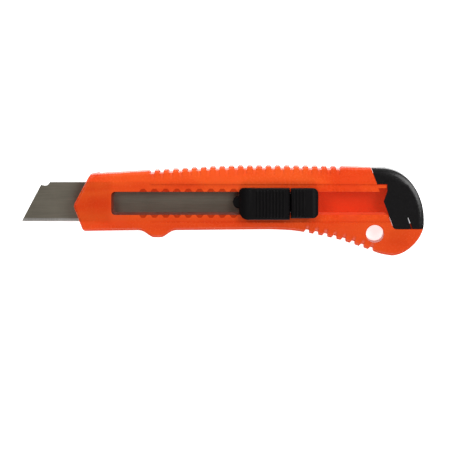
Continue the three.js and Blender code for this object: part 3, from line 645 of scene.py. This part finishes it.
def orange_plastic():
    """Glossy see-through moulding plastic, clearer at the nose and where a notch thins the wall,
    with painted shade on its lower part and a faint painted glow.
    """
    material, start = new_material("orange_plastic")
    look, s = colours(), sizes()
    place, u, v, w = knife_place(start)
    flow = grain(start, stretched(start, place, (1, 3.2, 3.2)), 26, 4, 0.55)
    cloud = grain(start, place, 55, 3, 0.6)
    fine = grain(start, place, 900, 2, 0.5)
    speck = start.node("TexVoronoi", {"feature": "F1"}, {"Vector": place, "Scale": 420.0})
    dust = 1 - speck.between(0.03, 0.09)

    nose = 1 - u.between(15, 19)

    # Distance from the nearest notch's middle line, against half the notch's width at this height.
    pitch, mouth = s["tooth_pitch"], s["tooth_mouth"]
    turns = (u - (s["tooth_start"] - pitch / 2)) / pitch
    off = (start.maths("FRACT", turns) - 0.5).size() * pitch
    height = v.size() - s["slot_half"]
    fall = (mouth - s["tooth_floor"]) / 2 / s["tooth_depth"]
    inside = (mouth / 2 - height * fall - off).between(-0.25, 0.25)
    run = turns.between(-0.02, 0.02) * (1 - turns.between(TEETH - 0.02, TEETH + 0.02))
    band = height.between(-0.2, 0.1) * (1 - height.between(1.35, 1.6))
    behind_slider = u.between(74, 80)
    thin = inside * band * run * w.between(7.5, 8.5) * (1 - behind_slider * 0.8)

    base = tuple(look.orange)
    deeper = tuple(c * k for c, k in zip(base, (0.86, 0.72, 0.8)))
    lighter = (min(1, base[0] * 1.05), base[1] * 1.5, base[2] * 2.0)
    body = flow.between(0.34, 0.66).mix(deeper, lighter)
    body = (cloud.between(0.3, 0.75) * 0.35).mix(body, base)
    body = (dust * 0.25).mix(body, (0.9, 0.3, 0.14))
    # Painted shade: the lower part of the handle darkened, standing in for the top light falling
    # less on it.
    body = ((1 - v.between(-12, -2)) * 0.55).mix(body, tuple(0.68 * c for c in base))
    wear = cloud.between(0.55, 0.8)
    height_map = fine * 0.25 + flow * 0.9
    shader(
        start,
        {
            "Base Color": body,
            "Roughness": 0.24 + wear * 0.12 + fine * 0.06,
            "Normal": bump(start, height_map, 0.22, 0.0004),
            "IOR": 1.49,
            "Specular IOR Level": 0.22,
            # Painted glow: a faint emission standing in for light carried through the plastic.
            "Emission Color": (*look.painted_glow, 1),
            "Emission Strength": 0.05,
        },
        clear=0.22 + nose * 0.15 + thin * 0.45 + (cloud - 0.5) * 0.06,
        tint=tuple(look.orange_depth),
    )
    return material


def orange_inside():
    """The same plastic on the walls inside the handle, which let more light through, with a painted
    glow.
    """
    material, start = new_material("orange_plastic_inside")
    look = colours()
    place, _, _, _ = knife_place(start)
    cloud = grain(start, place, 70, 3, 0.6)
    base = tuple(look.orange)
    body = cloud.between(0.3, 0.7).mix(tuple(0.85 * c for c in base), base)
    shader(
        start,
        {
            "Base Color": body,
            "Roughness": 0.4 + cloud * 0.15,
            "Normal": bump(start, cloud, 0.2, 0.0003),
            "Specular IOR Level": 0.2,
            # Painted glow: emission standing in for light carried through the inside walls.
            "Emission Color": (*look.painted_glow, 1),
            "Emission Strength": 0.1,
        },
        clear=0.68 + (cloud - 0.5) * 0.1,
        tint=tuple(look.orange_depth),
    )
    return material


def orange_painted_shade():
    """The slot's lower side and front end, with painted shade: near-black plastic standing in for
    the shade under the slot's lips.
    """
    material, start = new_material("orange_plastic_painted_shade")
    place, u, _, _ = knife_place(start)
    cloud = grain(start, place, 160, 3, 0.6)
    behind_slider = u.between(76, 82)
    # Painted shade: near-black plastic standing in for the shade under the lips, plain orange again
    # behind the slider.
    body = cloud.between(0.3, 0.7).mix((0.055, 0.008, 0.003), (0.09, 0.013, 0.004))
    body = behind_slider.mix(body, tuple(colours().orange))
    shader(
        start,
        {
            "Base Color": body,
            "Roughness": 0.35 + cloud * 0.15,
            "Normal": bump(start, cloud, 0.2, 0.0003),
            "Specular IOR Level": 0.2,
        },
        clear=0.1 + behind_slider * 0.4,
        tint=tuple(colours().orange_depth),
    )
    return material


def black_plastic(name, gloss, lift=1.0, shine=0.1):
    """Black moulded plastic with a fine spark-eroded texture and rubbed spots."""
    material, start = new_material(name)
    look = colours()
    place, _, _, _ = knife_place(start)
    fine = grain(start, place, 1500, 3, 0.6)
    cloud = grain(start, place, 90, 4, 0.6)
    rub = cloud.between(0.58, 0.78)
    base = tuple(c * lift for c in look.black)
    worn = tuple(c * 2.4 for c in base)
    body = (rub * 0.6 + fine * 0.25).mix(base, worn)
    shader(
        start,
        {
            "Base Color": body,
            "Roughness": gloss + fine * 0.1 - rub * 0.05,
            "Normal": bump(start, fine + cloud * 0.6, 0.3, 0.00012),
            "IOR": 1.46,
            "Specular IOR Level": shine,
        },
    )
    return material


def blade_steel():
    """Rolled blade steel: a dull brushed flat and a bright ground band at the cutting edge."""
    material, start = new_material("blade_steel")
    look = colours()
    place, _, v, _ = knife_place(start)
    rolled = grain(start, stretched(start, place, (0.03, 1, 1)), 2600, 3, 0.6)
    ground = grain(start, stretched(start, place, (1, 0.02, 0.02)), 2400, 3, 0.6)
    stain = grain(start, place, 48, 4, 0.62)
    edge = 1 - v.between(-HALF_BLADE + GROUND - 0.08, -HALF_BLADE + GROUND + 0.08)
    flat = (rolled * 0.5 + stain * 0.5).between(0.3, 0.7)
    steel = tuple(look.steel)
    body = flat.mix(tuple(0.84 * c for c in steel), tuple(1.14 * c for c in steel))
    bright = ground.between(0.3, 0.7).mix(tuple(0.8 * c for c in look.ground), tuple(look.ground))
    body = edge.mix(body, bright)
    shader(
        start,
        {
            "Base Color": body,
            "Metallic": 0.9 + edge * 0.1,
            "Roughness": 0.46 + (stain - 0.5) * 0.14 + rolled * 0.08 - edge * 0.16,
            "Normal": bump(start, rolled * (1 - edge) + ground * edge, 0.12, 0.00008),
        },
    )
    return material


def spring_steel():
    """Bright drawn steel strip."""
    material, start = new_material("spring_steel")
    look = colours()
    place, _, _, _ = knife_place(start)
    drawn = grain(start, stretched(start, place, (0.04, 1, 1)), 2200, 3, 0.6)
    body = drawn.between(0.3, 0.7).mix(tuple(0.8 * c for c in look.strip), tuple(look.strip))
    shader(
        start,
        {
            "Base Color": body,
            "Metallic": 1.0,
            "Roughness": 0.24 + drawn * 0.14,
            "Normal": bump(start, drawn, 0.1, 0.00006),
        },
    )
    return material


# ---- Handle ----


def grip_groove(spot, outward, s):
    """A round-bottomed groove over an edge that narrows and fades out on both faces."""
    depth, wide = s["groove_depth"], s["groove_width"]
    levels = [(-1, -4.6, 0.6), (0, -4.6, 0.6), (0.22, -3.1, 0.85), (0.45, -depth - 0.6, 1)]
    levels += [(0.8, -depth - 0.22, 1), (s["edge"], -depth, 1)]
    levels += [(THICK - z, out, share) for z, out, share in reversed(levels)]
    rings = []
    for z, out, share in levels:
        half = wide / 2 * share
        rise = [(-half - 0.04, 3.0), (-half, out + 0.3), (-half + 0.06, out + 0.12)]
        rise += [(-half + 0.2, out + 0.02), (-half + 0.34, out)]
        line = rise + [(-a, b) for a, b in reversed(rise)]
        rings.append([(a, b, z) for a, b in line])
    x, y, angle = spot
    turn = Matrix.Rotation(angle, 4, "Z")
    if outward < 0:
        turn = turn @ Matrix.Diagonal((1, -1, 1, 1))
    return placed(loft(rings), Matrix.Translation((x, y, 0)) @ turn)


def grip_grooves(s):
    """The grooves along the back, then those under the hand."""
    back = [grip_groove(spot_on(BACK, 35.9 + i * 4.217), 1, s) for i in range(21)]
    belly = [grip_groove(spot_on(BELLY, LENGTH - 53.3 + i * 4.14), -1, s) for i in range(8)]
    return back + belly


def slot_notches(s, low, high):
    """The pairs of notches beside the slot, between two heights."""
    half, mouth, floor = s["slot_half"], s["tooth_mouth"] / 2, s["tooth_floor"] / 2
    top = half + s["tooth_depth"]
    line = [(mouth, half - 0.8), (mouth, half), (floor + 0.35, top - 0.4)]
    line += [(floor, top - 0.12), (floor - 0.3, top)]
    line += [(-a, b) for a, b in reversed(line)]
    notches = []
    for i in range(TEETH):
        x = s["tooth_start"] + i * s["tooth_pitch"]
        notches += [prism([(x + a, side * b) for a, b in line], low, high) for side in (-1, 1)]
    return notches


def slot_opening(s, z):
    """The slot, with a rounded rim where it meets the face at height z, and a slope on its front
    end and its lower side."""
    far, half, slope = LENGTH + FAR, s["slot_half"], 0.9
    rings = []
    levels = [(7.6, 0, slope), (z - 0.8, 0, slope), (z - 0.14, 0, 0), (z - 0.04, 0.06, 0)]
    levels += [(z, 0.14, 0), (z + 2, 0.14, 0)]
    for level, grow, lean in levels:
        turn = s["slot_corner"] + grow
        front, low = s["slot_start"] - grow + lean, -half - grow + lean
        plan = rounded(front, far, low, half + grow, (turn, 0, 0, turn), 10)
        rings.append([(x, y, level) for x, y in plan])
    return loft(rings)


def dress_walls(piece, s, lip, recess):
    """Gives the channel's walls their own material, and paints shade on the slot's lower side and
    front end with a near-black material.
    """
    # Material slots: the see-through inside walls, then the painted shade of the slot's walls.
    inside, deep = 1, 2
    piece.data.materials.append(orange_inside())
    piece.data.materials.append(orange_painted_shade())
    for face in piece.data.polygons:
        x, y, z = (face.center - HOME) / MM
        in_channel = WALL - 0.05 < z < recess - 0.2 and abs(y) < CHANNEL + 0.05
        if in_channel and not (x < MOUTH and z > OVER_BLADE + 0.1):
            face.material_index = inside
        turn = face.normal
        by_slot = abs(y) < s["slot_half"] + 0.4 and x > s["slot_start"] - 0.5 and z > lip
        at_front = x < s["slot_start"] + s["slot_corner"] + 0.1
        # Painted shade: the slot's walls that face +Y, and its front end, get the near-black
        # material.
        if by_slot and turn.z < 0.95 and (turn.y > 0.2 or (at_front and turn.x > 0.2)):
            face.material_index = deep


class KNIFE_OT_handle(bpy.types.Operator):
    """Builds the one-piece moulded handle"""

    bl_idname = "knife.handle"
    bl_label = "Handle"

    def execute(self, context):
        s = sizes()
        lip, recess, far = THICK - LIP, THICK - s["recess_depth"], LENGTH + FAR
        body = rimmed(body_outline(), 0, THICK, s["edge"], s["edge"], 7)
        piece = as_object("handle_shell", body)
        cut(
            piece,
            prism(cap_region(0), -1, THICK + 1),
            box(-1, MOUTH, -CHANNEL, CHANNEL, WALL, OVER_BLADE),
            box(MOUTH - 1, far, -CHANNEL, CHANNEL, WALL, lip),
        )

        slope = [(s["recess_start"] - 2.5, THICK + 0.3), (s["recess_start"], recess)]
        slope += [(far, recess), (far, THICK + 0.3)]
        cut(piece, side_prism(slope, -s["recess_half"], s["recess_half"]))
        front = as_object("front", slot_opening(s, THICK))
        keep(front, box(0, s["recess_start"], -FAR, FAR, 0, FAR))
        cut(piece, slot_opening(s, recess), as_shape(front))
        cut(piece, gathered(slot_notches(s, lip - 0.5, recess - SKIN)))
        cut(piece, gathered(grip_grooves(s)))

        r = s["hole_radius"]
        rim = [(r + 0.9, -0.7), (r + 0.25, 0), (r + 0.08, 0.08), (r, 0.25)]
        rim += [(a, THICK - z) for a, z in reversed(rim)]
        cut(piece, turned(rim, LENGTH - 22.3, -CHANNEL - 0.65 - r))

        left, right, deep, shelf = joint_x(SOLE) + 0.8, LENGTH - 7.7, SOLE - 7.4, SOLE - 1.6
        pocket = [(left - 2.4, deep), (right, deep), (right, SOLE + 1), (left, SOLE + 1)]
        pocket += [(left, shelf), (left - 2.4, shelf)]
        cut(piece, prism(pocket, WALL, THICK - WALL))

        low, top = s["slot_half"] + 1.75, s["slot_half"] + TONGUE_TOP
        back, tall, half = HOOK_RAIL
        y0, y1, middle = SOLE - 1, SOLE + tall, THICK / 2
        weld(
            piece,
            prism(cheek_outline(0), 1.8, THICK - 1.8),
            prism(behind_joint(low, top, joint_x(top) + TONGUE), lip, recess),
            prism(floor_tongue(0), 0, WALL),
            box(LENGTH - 6.6, LENGTH - back, y0, y1, middle - half, middle + half),
        )
        plastic = orange_plastic()
        finish_piece(piece, "housing", ["handle"], plastic, s["crisp"])
        dress_walls(piece, s, lip, recess)
        return {"FINISHED"}


# ---- End cap ----


class KNIFE_OT_end_cap(bpy.types.Operator):
    """Builds the bevelled end cap that snaps segments off the blade"""

    bl_idname = "knife.end_cap"
    bl_label = "End cap"

    def execute(self, context):
        s = sizes()
        thick, wall, floor = CAP_HIGH.z / MM, 1.5, WALL + GAP
        rear = [p for p in body_outline() if p[0] > LENGTH / 2]
        rear += [(0, rear[-1][1]), (0, rear[0][1])]
        bevel_depth, front_gap = 1.3, 0.14
        piece = as_object("end_cap_shell", rimmed(rear, 0, thick, s["cap_bevel"], bevel_depth, 1))
        keep(piece, prism(cap_region(front_gap), -1, thick + 1))

        # Room for the end of the upper lip, which shows in the cap's face.
        low, shoulder, top = (s["slot_half"] + up for up in (-4.15, 0.3, TONGUE_TOP))
        end = joint_x(top) + TONGUE + GAP
        notch = [(joint_x(low) - 1, low), (joint_x(low) + 0.3, low), (end, shoulder)]
        notch += [(end, top + GAP), (joint_x(top) - 1, top + GAP)]

        # Room for the parked carrier's upper rail, ahead of the hollow.
        rail = CHANNEL - GAP
        parked = behind_joint(CHANNEL - 2, rail + 0.15, joint_x(rail) + 0.7)
        hollow = behind_joint(1.5 - CHANNEL, CHANNEL - 1.1, LENGTH - 9.7)

        tilt, depth, mouth, tip = math.radians(20), 5.3, 0.4, 0.11
        length = depth / math.cos(tilt) + 2
        slit = prism([(-mouth, -length), (mouth, -length), (tip, 0), (-tip, 0)], -1, thick + 1)
        place = Matrix.Translation((LENGTH - 7.3, SOLE + depth, 0)) @ Matrix.Rotation(tilt, 4, "Z")

        seam_y, seam_half = 9.9, 0.15
        seam_x = joint_x(seam_y) + 1.9
        seam = (seam_x, seam_x + 6.4, seam_y - seam_half, seam_y + seam_half)
        back, tall, half = HOOK_RAIL
        x0, x1, y0, y1 = joint_x(SOLE) - 5, LENGTH - back + GAP, SOLE - 1, SOLE + tall + GAP
        middle, reach = thick / 2, half + GAP
        cut(
            piece,
            prism(cheek_outline(GAP), wall, thick - wall),
            prism(hollow, floor, thick - wall),
            prism(parked, floor - 0.1, thick - wall - 0.5),
            prism(notch, floor, thick + 1),
            prism(floor_tongue(GAP), -1, floor),
            box(x0, x1, y0, y1, middle - reach, middle + reach),
            placed(slit, place),
            box(*seam, thick - 0.2, thick + 1),
        )
        black = black_plastic("black_cap", 0.2, 0.7, 0.3)
        finish_piece(piece, "cap", ["end_cap"], black, s["crisp"])
        return {"FINISHED"}


# ---- Blade ----


class KNIFE_OT_blade(bpy.types.Operator):
    """Builds the segmented blade with its ground edge and score lines"""

    bl_idname = "knife.blade"
    bl_label = "Blade"

    def execute(self, context):
        tip, tail = along(BLADE_LOW.x), along(BLADE_HIGH.x)
        low, high = BLADE_LOW.z / MM, BLADE_HIGH.z / MM
        slant = math.tan(SLANT)
        step, run = 1.6, 4.1  # depth and length of the stepped front corner
        shoulder = HALF_BLADE - 0.8 * step
        at = tip + (shoulder + HALF_BLADE) * slant
        heel, foot = (at + run, HALF_BLADE), (at + 0.7 * run, HALF_BLADE - step)
        toe, point = (at + 0.4 * run, HALF_BLADE - step), (at, shoulder)
        outline = [(tip, -HALF_BLADE), (tail, -HALF_BLADE), (tail, HALF_BLADE), heel]
        outline += corner(heel, foot, point, 0.5, 4)
        outline += corner(foot, toe, point, 0.4, 4)
        outline += [point]
        piece = as_object("blade_strip", prism(outline, low, high))

        middle, half, bottom = (low + high) / 2, (high - low) / 2, -HALF_BLADE
        grinds = []
        for side in (-1, 1):
            profile = [
                (bottom - 1, middle + side * (0.05 - 0.4 / 3)),
                (bottom, middle + side * 0.05),
                (bottom + GROUND, middle + side * half),
                (bottom + GROUND, middle + side * (half + 1)),
                (bottom - 1, middle + side * (half + 1)),
            ]
            grinds.append(loft([[(x, y, z) for y, z in profile] for x in (tip - 1, tail + 1)]))
        cut(piece, *grinds)

        segment, reach = 12, 2 * HALF_BLADE / math.cos(SLANT) + 2
        groove = [(-0.2, -0.15), (-0.03, 0.15), (0.03, 0.15), (0.2, -0.15)]
        lines = []
        for i in range(1, 8):
            rings = [[(x, y, z + low) for x, z in groove] for y in (-reach / 2, reach / 2)]
            x = tip + HALF_BLADE * slant + i * segment
            place = Matrix.Translation((x, 0, 0)) @ Matrix.Rotation(-SLANT, 4, "Z")
            lines.append(placed(loft(rings), place))
        cut(piece, gathered(lines), post(STUD, 0, 2.5, 0, THICK, 64))
        finish_piece(piece, "slider", ["blade"], blade_steel(), 0.03, 20, 1)
        return {"FINISHED"}


# ---- Slider ----


def ribbon(line, half):
    """A strip of even thickness along an open line."""
    left, right = [], []
    for i, p in enumerate(line):
        a = Vector(line[max(i - 1, 0)])
        b = Vector(line[min(i + 1, len(line) - 1)])
        here = Vector(p)
        before = (here - a).normalized() if i else (b - here).normalized()
        after = (b - here).normalized() if i < len(line) - 1 else before
        first, second = Vector((-before.y, before.x)), Vector((-after.y, after.x))
        middle = (first + second).normalized()
        step = middle * (half / max(middle.dot(second), 0.5))
        left.append(tuple(here + step))
        right.append(tuple(here - step))
    return right + list(reversed(left))


class KNIFE_OT_carrier(bpy.types.Operator):
    """Builds the blade carrier and the strip spring that clicks into the notches"""

    bl_idname = "knife.carrier"
    bl_label = "Carrier and spring"

    def execute(self, context):
        s = sizes()
        end, pad_end, bottom = along(CARRIER_HIGH.x), along(PAD_HIGH.x), BLADE_LOW.z / MM
        neck, rail = s["slot_half"] - NECK_AIR, CHANNEL - GAP
        plate, rail_top, rail_wall = 4.7, THICK - LIP - GAP, 1.5
        piece = as_object("carrier_body", box(STUD + NUB, end, -rail, rail, OVER_BLADE, plate))
        nub = rounded(STUD - NUB, NECK_START + 0.5, -NUB, NUB, (NUB, 0, 0, NUB), 12)
        weld(
            piece,
            box(along(BLADE_HIGH.x) + GAP, end, -rail, rail, bottom, plate),
            rimmed(nub, OVER_BLADE, 6.0, 0.3, 0.3, 3),
            post(STUD, 0, 2.2, bottom, OVER_BLADE + 0.1),
            box(NECK_START, pad_end, -neck, neck, OVER_BLADE, THICK),
            box(NECK_START, end, -rail, rail_wall - rail, OVER_BLADE, rail_top),
            box(NECK_START, end, rail - rail_wall, rail, OVER_BLADE, rail_top),
        )

        ear_half, ear_wall, snap = PIVOT_RADIUS + 0.8, 1.2, 0.85 * PIVOT_RADIUS
        x0, x1 = PIVOT_X - ear_half, PIVOT_X + ear_half
        for y0 in (-neck, neck - ear_wall):
            near, far = y0 - 1, y0 + ear_wall + 1
            ear = as_object("ear", box(x0, x1, y0, y0 + ear_wall, 4.1, PIVOT_Z + 1))
            cut(
                ear,
                cross_pin(PIVOT_X, PIVOT_Z, PIVOT_RADIUS + GAP, near, far),
                box(PIVOT_X - snap, PIVOT_X + snap, near, far, PIVOT_Z, PIVOT_Z + 2),
            )
            weld(piece, as_shape(ear))

        long, wide, deep = (size + GAP for size in PEG_SIZE)
        cut(piece, box(PEG - long, PEG + long, -wide, wide, THICK + GAP - deep, THICK + 1.3))
        black = black_plastic("black_carrier", 0.36)
        finish_piece(piece, "slider", ["blade_carrier"], black, 0.12)
        self.spring(s, neck)
        return {"FINISHED"}

    def spring(self, s, neck):
        """The strip, as one line round the neck, thickened and rounded at its edges."""
        half = 0.2
        arm = neck + GAP + half + GAP
        front = NECK_START - GAP - half - 0.6
        rest = s["tooth_start"] + REST_TOOTH * s["tooth_pitch"]
        peak = s["slot_half"] + s["tooth_depth"] - 0.4 - half
        tail = 1.8 + half
        line = [(front, 0), (front, arm - 1), (front + 0.3, arm - 0.3), (front + 1, arm)]
        line += [(rest - 1.7, arm), (rest - 0.35, peak), (rest + 0.35, peak), (rest + 1.7, arm)]
        line += [(PIVOT_X + 2.2, arm), (WEDGE - 1.6, tail), (WEDGE + 0.7, tail)]
        whole = [(x, -y) for x, y in reversed(line[1:])] + line
        strip = prism(ribbon(whole, half), SPRING_LOW.z / MM, SPRING_HIGH.z / MM)
        piece = as_object("spring_strip", strip)
        finish_piece(piece, "slider", ["detent_spring"], spring_steel(), 0.05, 25)


def ribs(s, x0, x1, low, high, start, top):
    """Fine ribs across a thumb face, each with rounded ends."""
    pitch, tall, close = s["rib_pitch"], s["rib_height"], 1e-6
    i = math.ceil((x0 - start) / pitch - close)
    made = []
    while start + (i + 1) * pitch <= x1 + close:
        x = start + i * pitch
        plan = rounded(x + 0.04 * pitch, x + 0.72 * pitch, low, high, (0.4, 0.4, 0.4, 0.4), 4)
        rings = []
        for up, away in ((-0.4, 0), (0.12, 0), (0.26, 0.05), (0.38, 0.14), (tall, 0.3)):
            rings.append([(a, b, top + up) for a, b in inset(plan, away)])
        made.append(loft(rings))
        i += 1
    return made


class KNIFE_OT_thumb_pieces(bpy.types.Operator):
    """Builds the ribbed thumb pad and the lock button behind it"""

    bl_idname = "knife.thumb_pieces"
    bl_label = "Thumb pad and lock button"

    def execute(self, context):
        s = sizes()
        black = black_plastic("black_thumb_pieces", 0.3, 0.7)
        top = PAD_HIGH.z / MM - s["rib_height"]
        edge, rib_inset = 0.55, 1.0

        start, end = along(PAD_LOW.x), along(PAD_HIGH.x)
        low, high = across(PAD_LOW.y), across(PAD_HIGH.y)
        under = THICK + GAP
        plan = rounded(start, end, low, high, (4.1, 0.3, 0.3, 2), 10)
        piece = as_object("thumb_pad_body", rimmed(plan, under, top, edge, edge, 5))
        toe, crest = top - 2.6, start + 6.5
        handles = (start + 1.5, top - 0.9), (start + 3.4, top)
        over = bezier((start - 0.01, toe), *handles, (crest, top), 14)
        over += [(crest, top + 3), (start - 3, top + 3), (start - 3, toe)]
        cut(piece, side_prism(over, low - 3, high + 3))
        rib_start, rib_low, rib_high = start + 7.8, low + rib_inset, high - rib_inset
        for rib in ribs(s, rib_start, end - 0.3, rib_low, rib_high, rib_start, top):
            weld(piece, rib)
        long, wide, deep = PEG_SIZE
        weld(piece, box(PEG - long, PEG + long, -wide, wide, under - deep, under + 0.5))
        finish_piece(piece, "slider", ["thumb_pad"], black, 0.1, 40)

        button, last = along(BUTTON_LOW.x), along(BUTTON_HIGH.x)
        low, high = across(BUTTON_LOW.y), across(BUTTON_HIGH.y)
        under = THICK + 1
        plan = rounded(button, last, low, high, (0.3, 2.6, 2.6, 0.3), 10)
        piece = as_object("lock_button_body", rimmed(plan, under, top, edge, edge, 5))
        heel, handles = top - 1.6, ((last - 1.8, top), (last - 0.8, top - 0.5))
        over = bezier((last - 3, top), *handles, (last + 0.01, heel), 10)
        over += [(last + 3, heel), (last + 3, top + 3), (last - 3, top + 3)]
        cut(piece, side_prism(over, low - 3, high + 3))
        rib_low, rib_high = low + rib_inset, high - rib_inset
        for rib in ribs(s, button + 0.2, last - 5.6, rib_low, rib_high, rib_start, top):
            weld(piece, rib)
        neck, r = s["slot_half"] - NECK_AIR, PIVOT_RADIUS
        reach, deep = neck - 1.5, BUTTON_LOW.z / MM
        weld(
            piece,
            box(PIVOT_X - r, PIVOT_X + r, -reach, reach, PIVOT_Z - r, under + 0.5),
            cross_pin(PIVOT_X, PIVOT_Z, r, GAP - neck, neck - GAP),
            box(WEDGE - 0.7, WEDGE + 0.7, -1.5, 1.5, deep, under + 0.5),
        )
        finish_piece(piece, "lock", ["lock_button"], black, 0.1, 40)
        return {"FINISHED"}


# ---- Stage ----


def softbox(name, place, aim, size, power):
    """A round soft light at a place, aimed at another."""
    light = bpy.data.lights.new(name, "AREA")
    light.shape, light.size, light.energy = "DISK", size, power
    lamp = bpy.data.objects.new(name, light)
    lamp.location = place
    lamp.rotation_euler = (Vector(aim) - Vector(place)).to_track_quat("-Z", "Y").to_euler()
    bpy.context.scene.collection.objects.link(lamp)


class KNIFE_OT_stage(bpy.types.Operator):
    """Builds the pale floor, the soft studio light and the camera"""

    bl_idname = "knife.stage"
    bl_label = "Stage"

    def execute(self, context):
        scene = context.scene
        shape = bmesh.new()
        bmesh.ops.create_grid(shape, x_segments=8, y_segments=8, size=6.0)
        floor = as_object("studio_floor", shape)
        floor.location.z = -0.0004
        material, start = new_material("studio_floor")
        place, _, _, _ = knife_place(start)
        mottle = grain(start, place, 6, 3, 0.5)
        pale = tuple(colours().floor)
        body = mottle.between(0.2, 0.8).mix(tuple(0.985 * c for c in pale), pale)
        shader(
            start,
            {
                "Base Color": body,
                "Roughness": 0.9,
                "Specular IOR Level": 0.1,
                "Emission Color": (1, 1, 1, 1),
                "Emission Strength": 0.75,
            },
        )
        floor.data.materials.append(material)

        world = bpy.data.worlds.new("studio")
        world.use_nodes = True
        backdrop = world.node_tree.nodes["Background"]
        backdrop.inputs["Color"].default_value = (1, 1, 1, 1)
        backdrop.inputs["Strength"].default_value = 0.16
        scene.world = world
        scene.view_settings.view_transform = "Standard"

        centre = (CAD_LOW + CAD_HIGH) / 2
        for name, place, size, power in (
            ("key", (-0.6, 0.6, 1.3), 0.7, 12),
            ("fill", (0.75, 0.35, 1.25), 0.7, 12),
            ("low_fill", (0.0, -0.95, 1.1), 0.8, 10),
            ("rim", (0.3, 1.15, 0.68), 0.8, 11),
            ("end", (1.15, 0.3, 0.66), 0.8, 4),
        ):
            softbox(name, place, centre, size, power)

        tilt, distance = math.radians(5.5), 2.0
        target = Vector((centre.x + 0.00116, centre.y - 0.0068, HANDLE_HIGH.z / 2))
        lens = bpy.data.cameras.new("camera")
        lens.lens, lens.sensor_width = 351.6, 36
        lens.clip_start, lens.clip_end = 0.01, 20
        camera = bpy.data.objects.new("camera", lens)
        back = Vector((0, math.sin(tilt), math.cos(tilt)))
        camera.location = target + back * distance
        right = Vector((1, 0, 0))
        camera.rotation_euler = Matrix((right, back.cross(right), back)).transposed().to_euler()
        scene.collection.objects.link(camera)
        scene.camera = camera
        return {"FINISHED"}


# ---- Panel and registering ----


OPERATORS = (
    KNIFE_OT_handle,
    KNIFE_OT_end_cap,
    KNIFE_OT_blade,
    KNIFE_OT_carrier,
    KNIFE_OT_thumb_pieces,
    KNIFE_OT_stage,
)


class KNIFE_PT_build(bpy.types.Panel):
    """Lists the pieces of the knife and its sizes"""

    bl_idname = "KNIFE_PT_build"
    bl_label = "Utility knife"
    bl_space_type = "VIEW_3D"
    bl_region_type = "UI"
    bl_category = "Knife"

    def draw(self, context):
        for operator in OPERATORS:
            self.layout.operator(operator.bl_idname)
        for group in (context.scene.knife_sizes, context.scene.knife_colours):
            column = self.layout.column()
            for name in type(group).__annotations__:
                column.prop(group, name)


CLASSES = (KnifeSizes, KnifeColours, *OPERATORS, KNIFE_PT_build)


def register():
    for item in CLASSES:
        bpy.utils.register_class(item)
    bpy.types.Scene.knife_sizes = bpy.props.PointerProperty(type=KnifeSizes)
    bpy.types.Scene.knife_colours = bpy.props.PointerProperty(type=KnifeColours)


def unregister():
    del bpy.types.Scene.knife_colours
    del bpy.types.Scene.knife_sizes
    for item in reversed(CLASSES):
        bpy.utils.unregister_class(item)


def main():
    register()
    for operator in OPERATORS:
        family, name = operator.bl_idname.split(".")
        getattr(getattr(bpy.ops, family), name)()


if __name__ == "__main__":
    main()
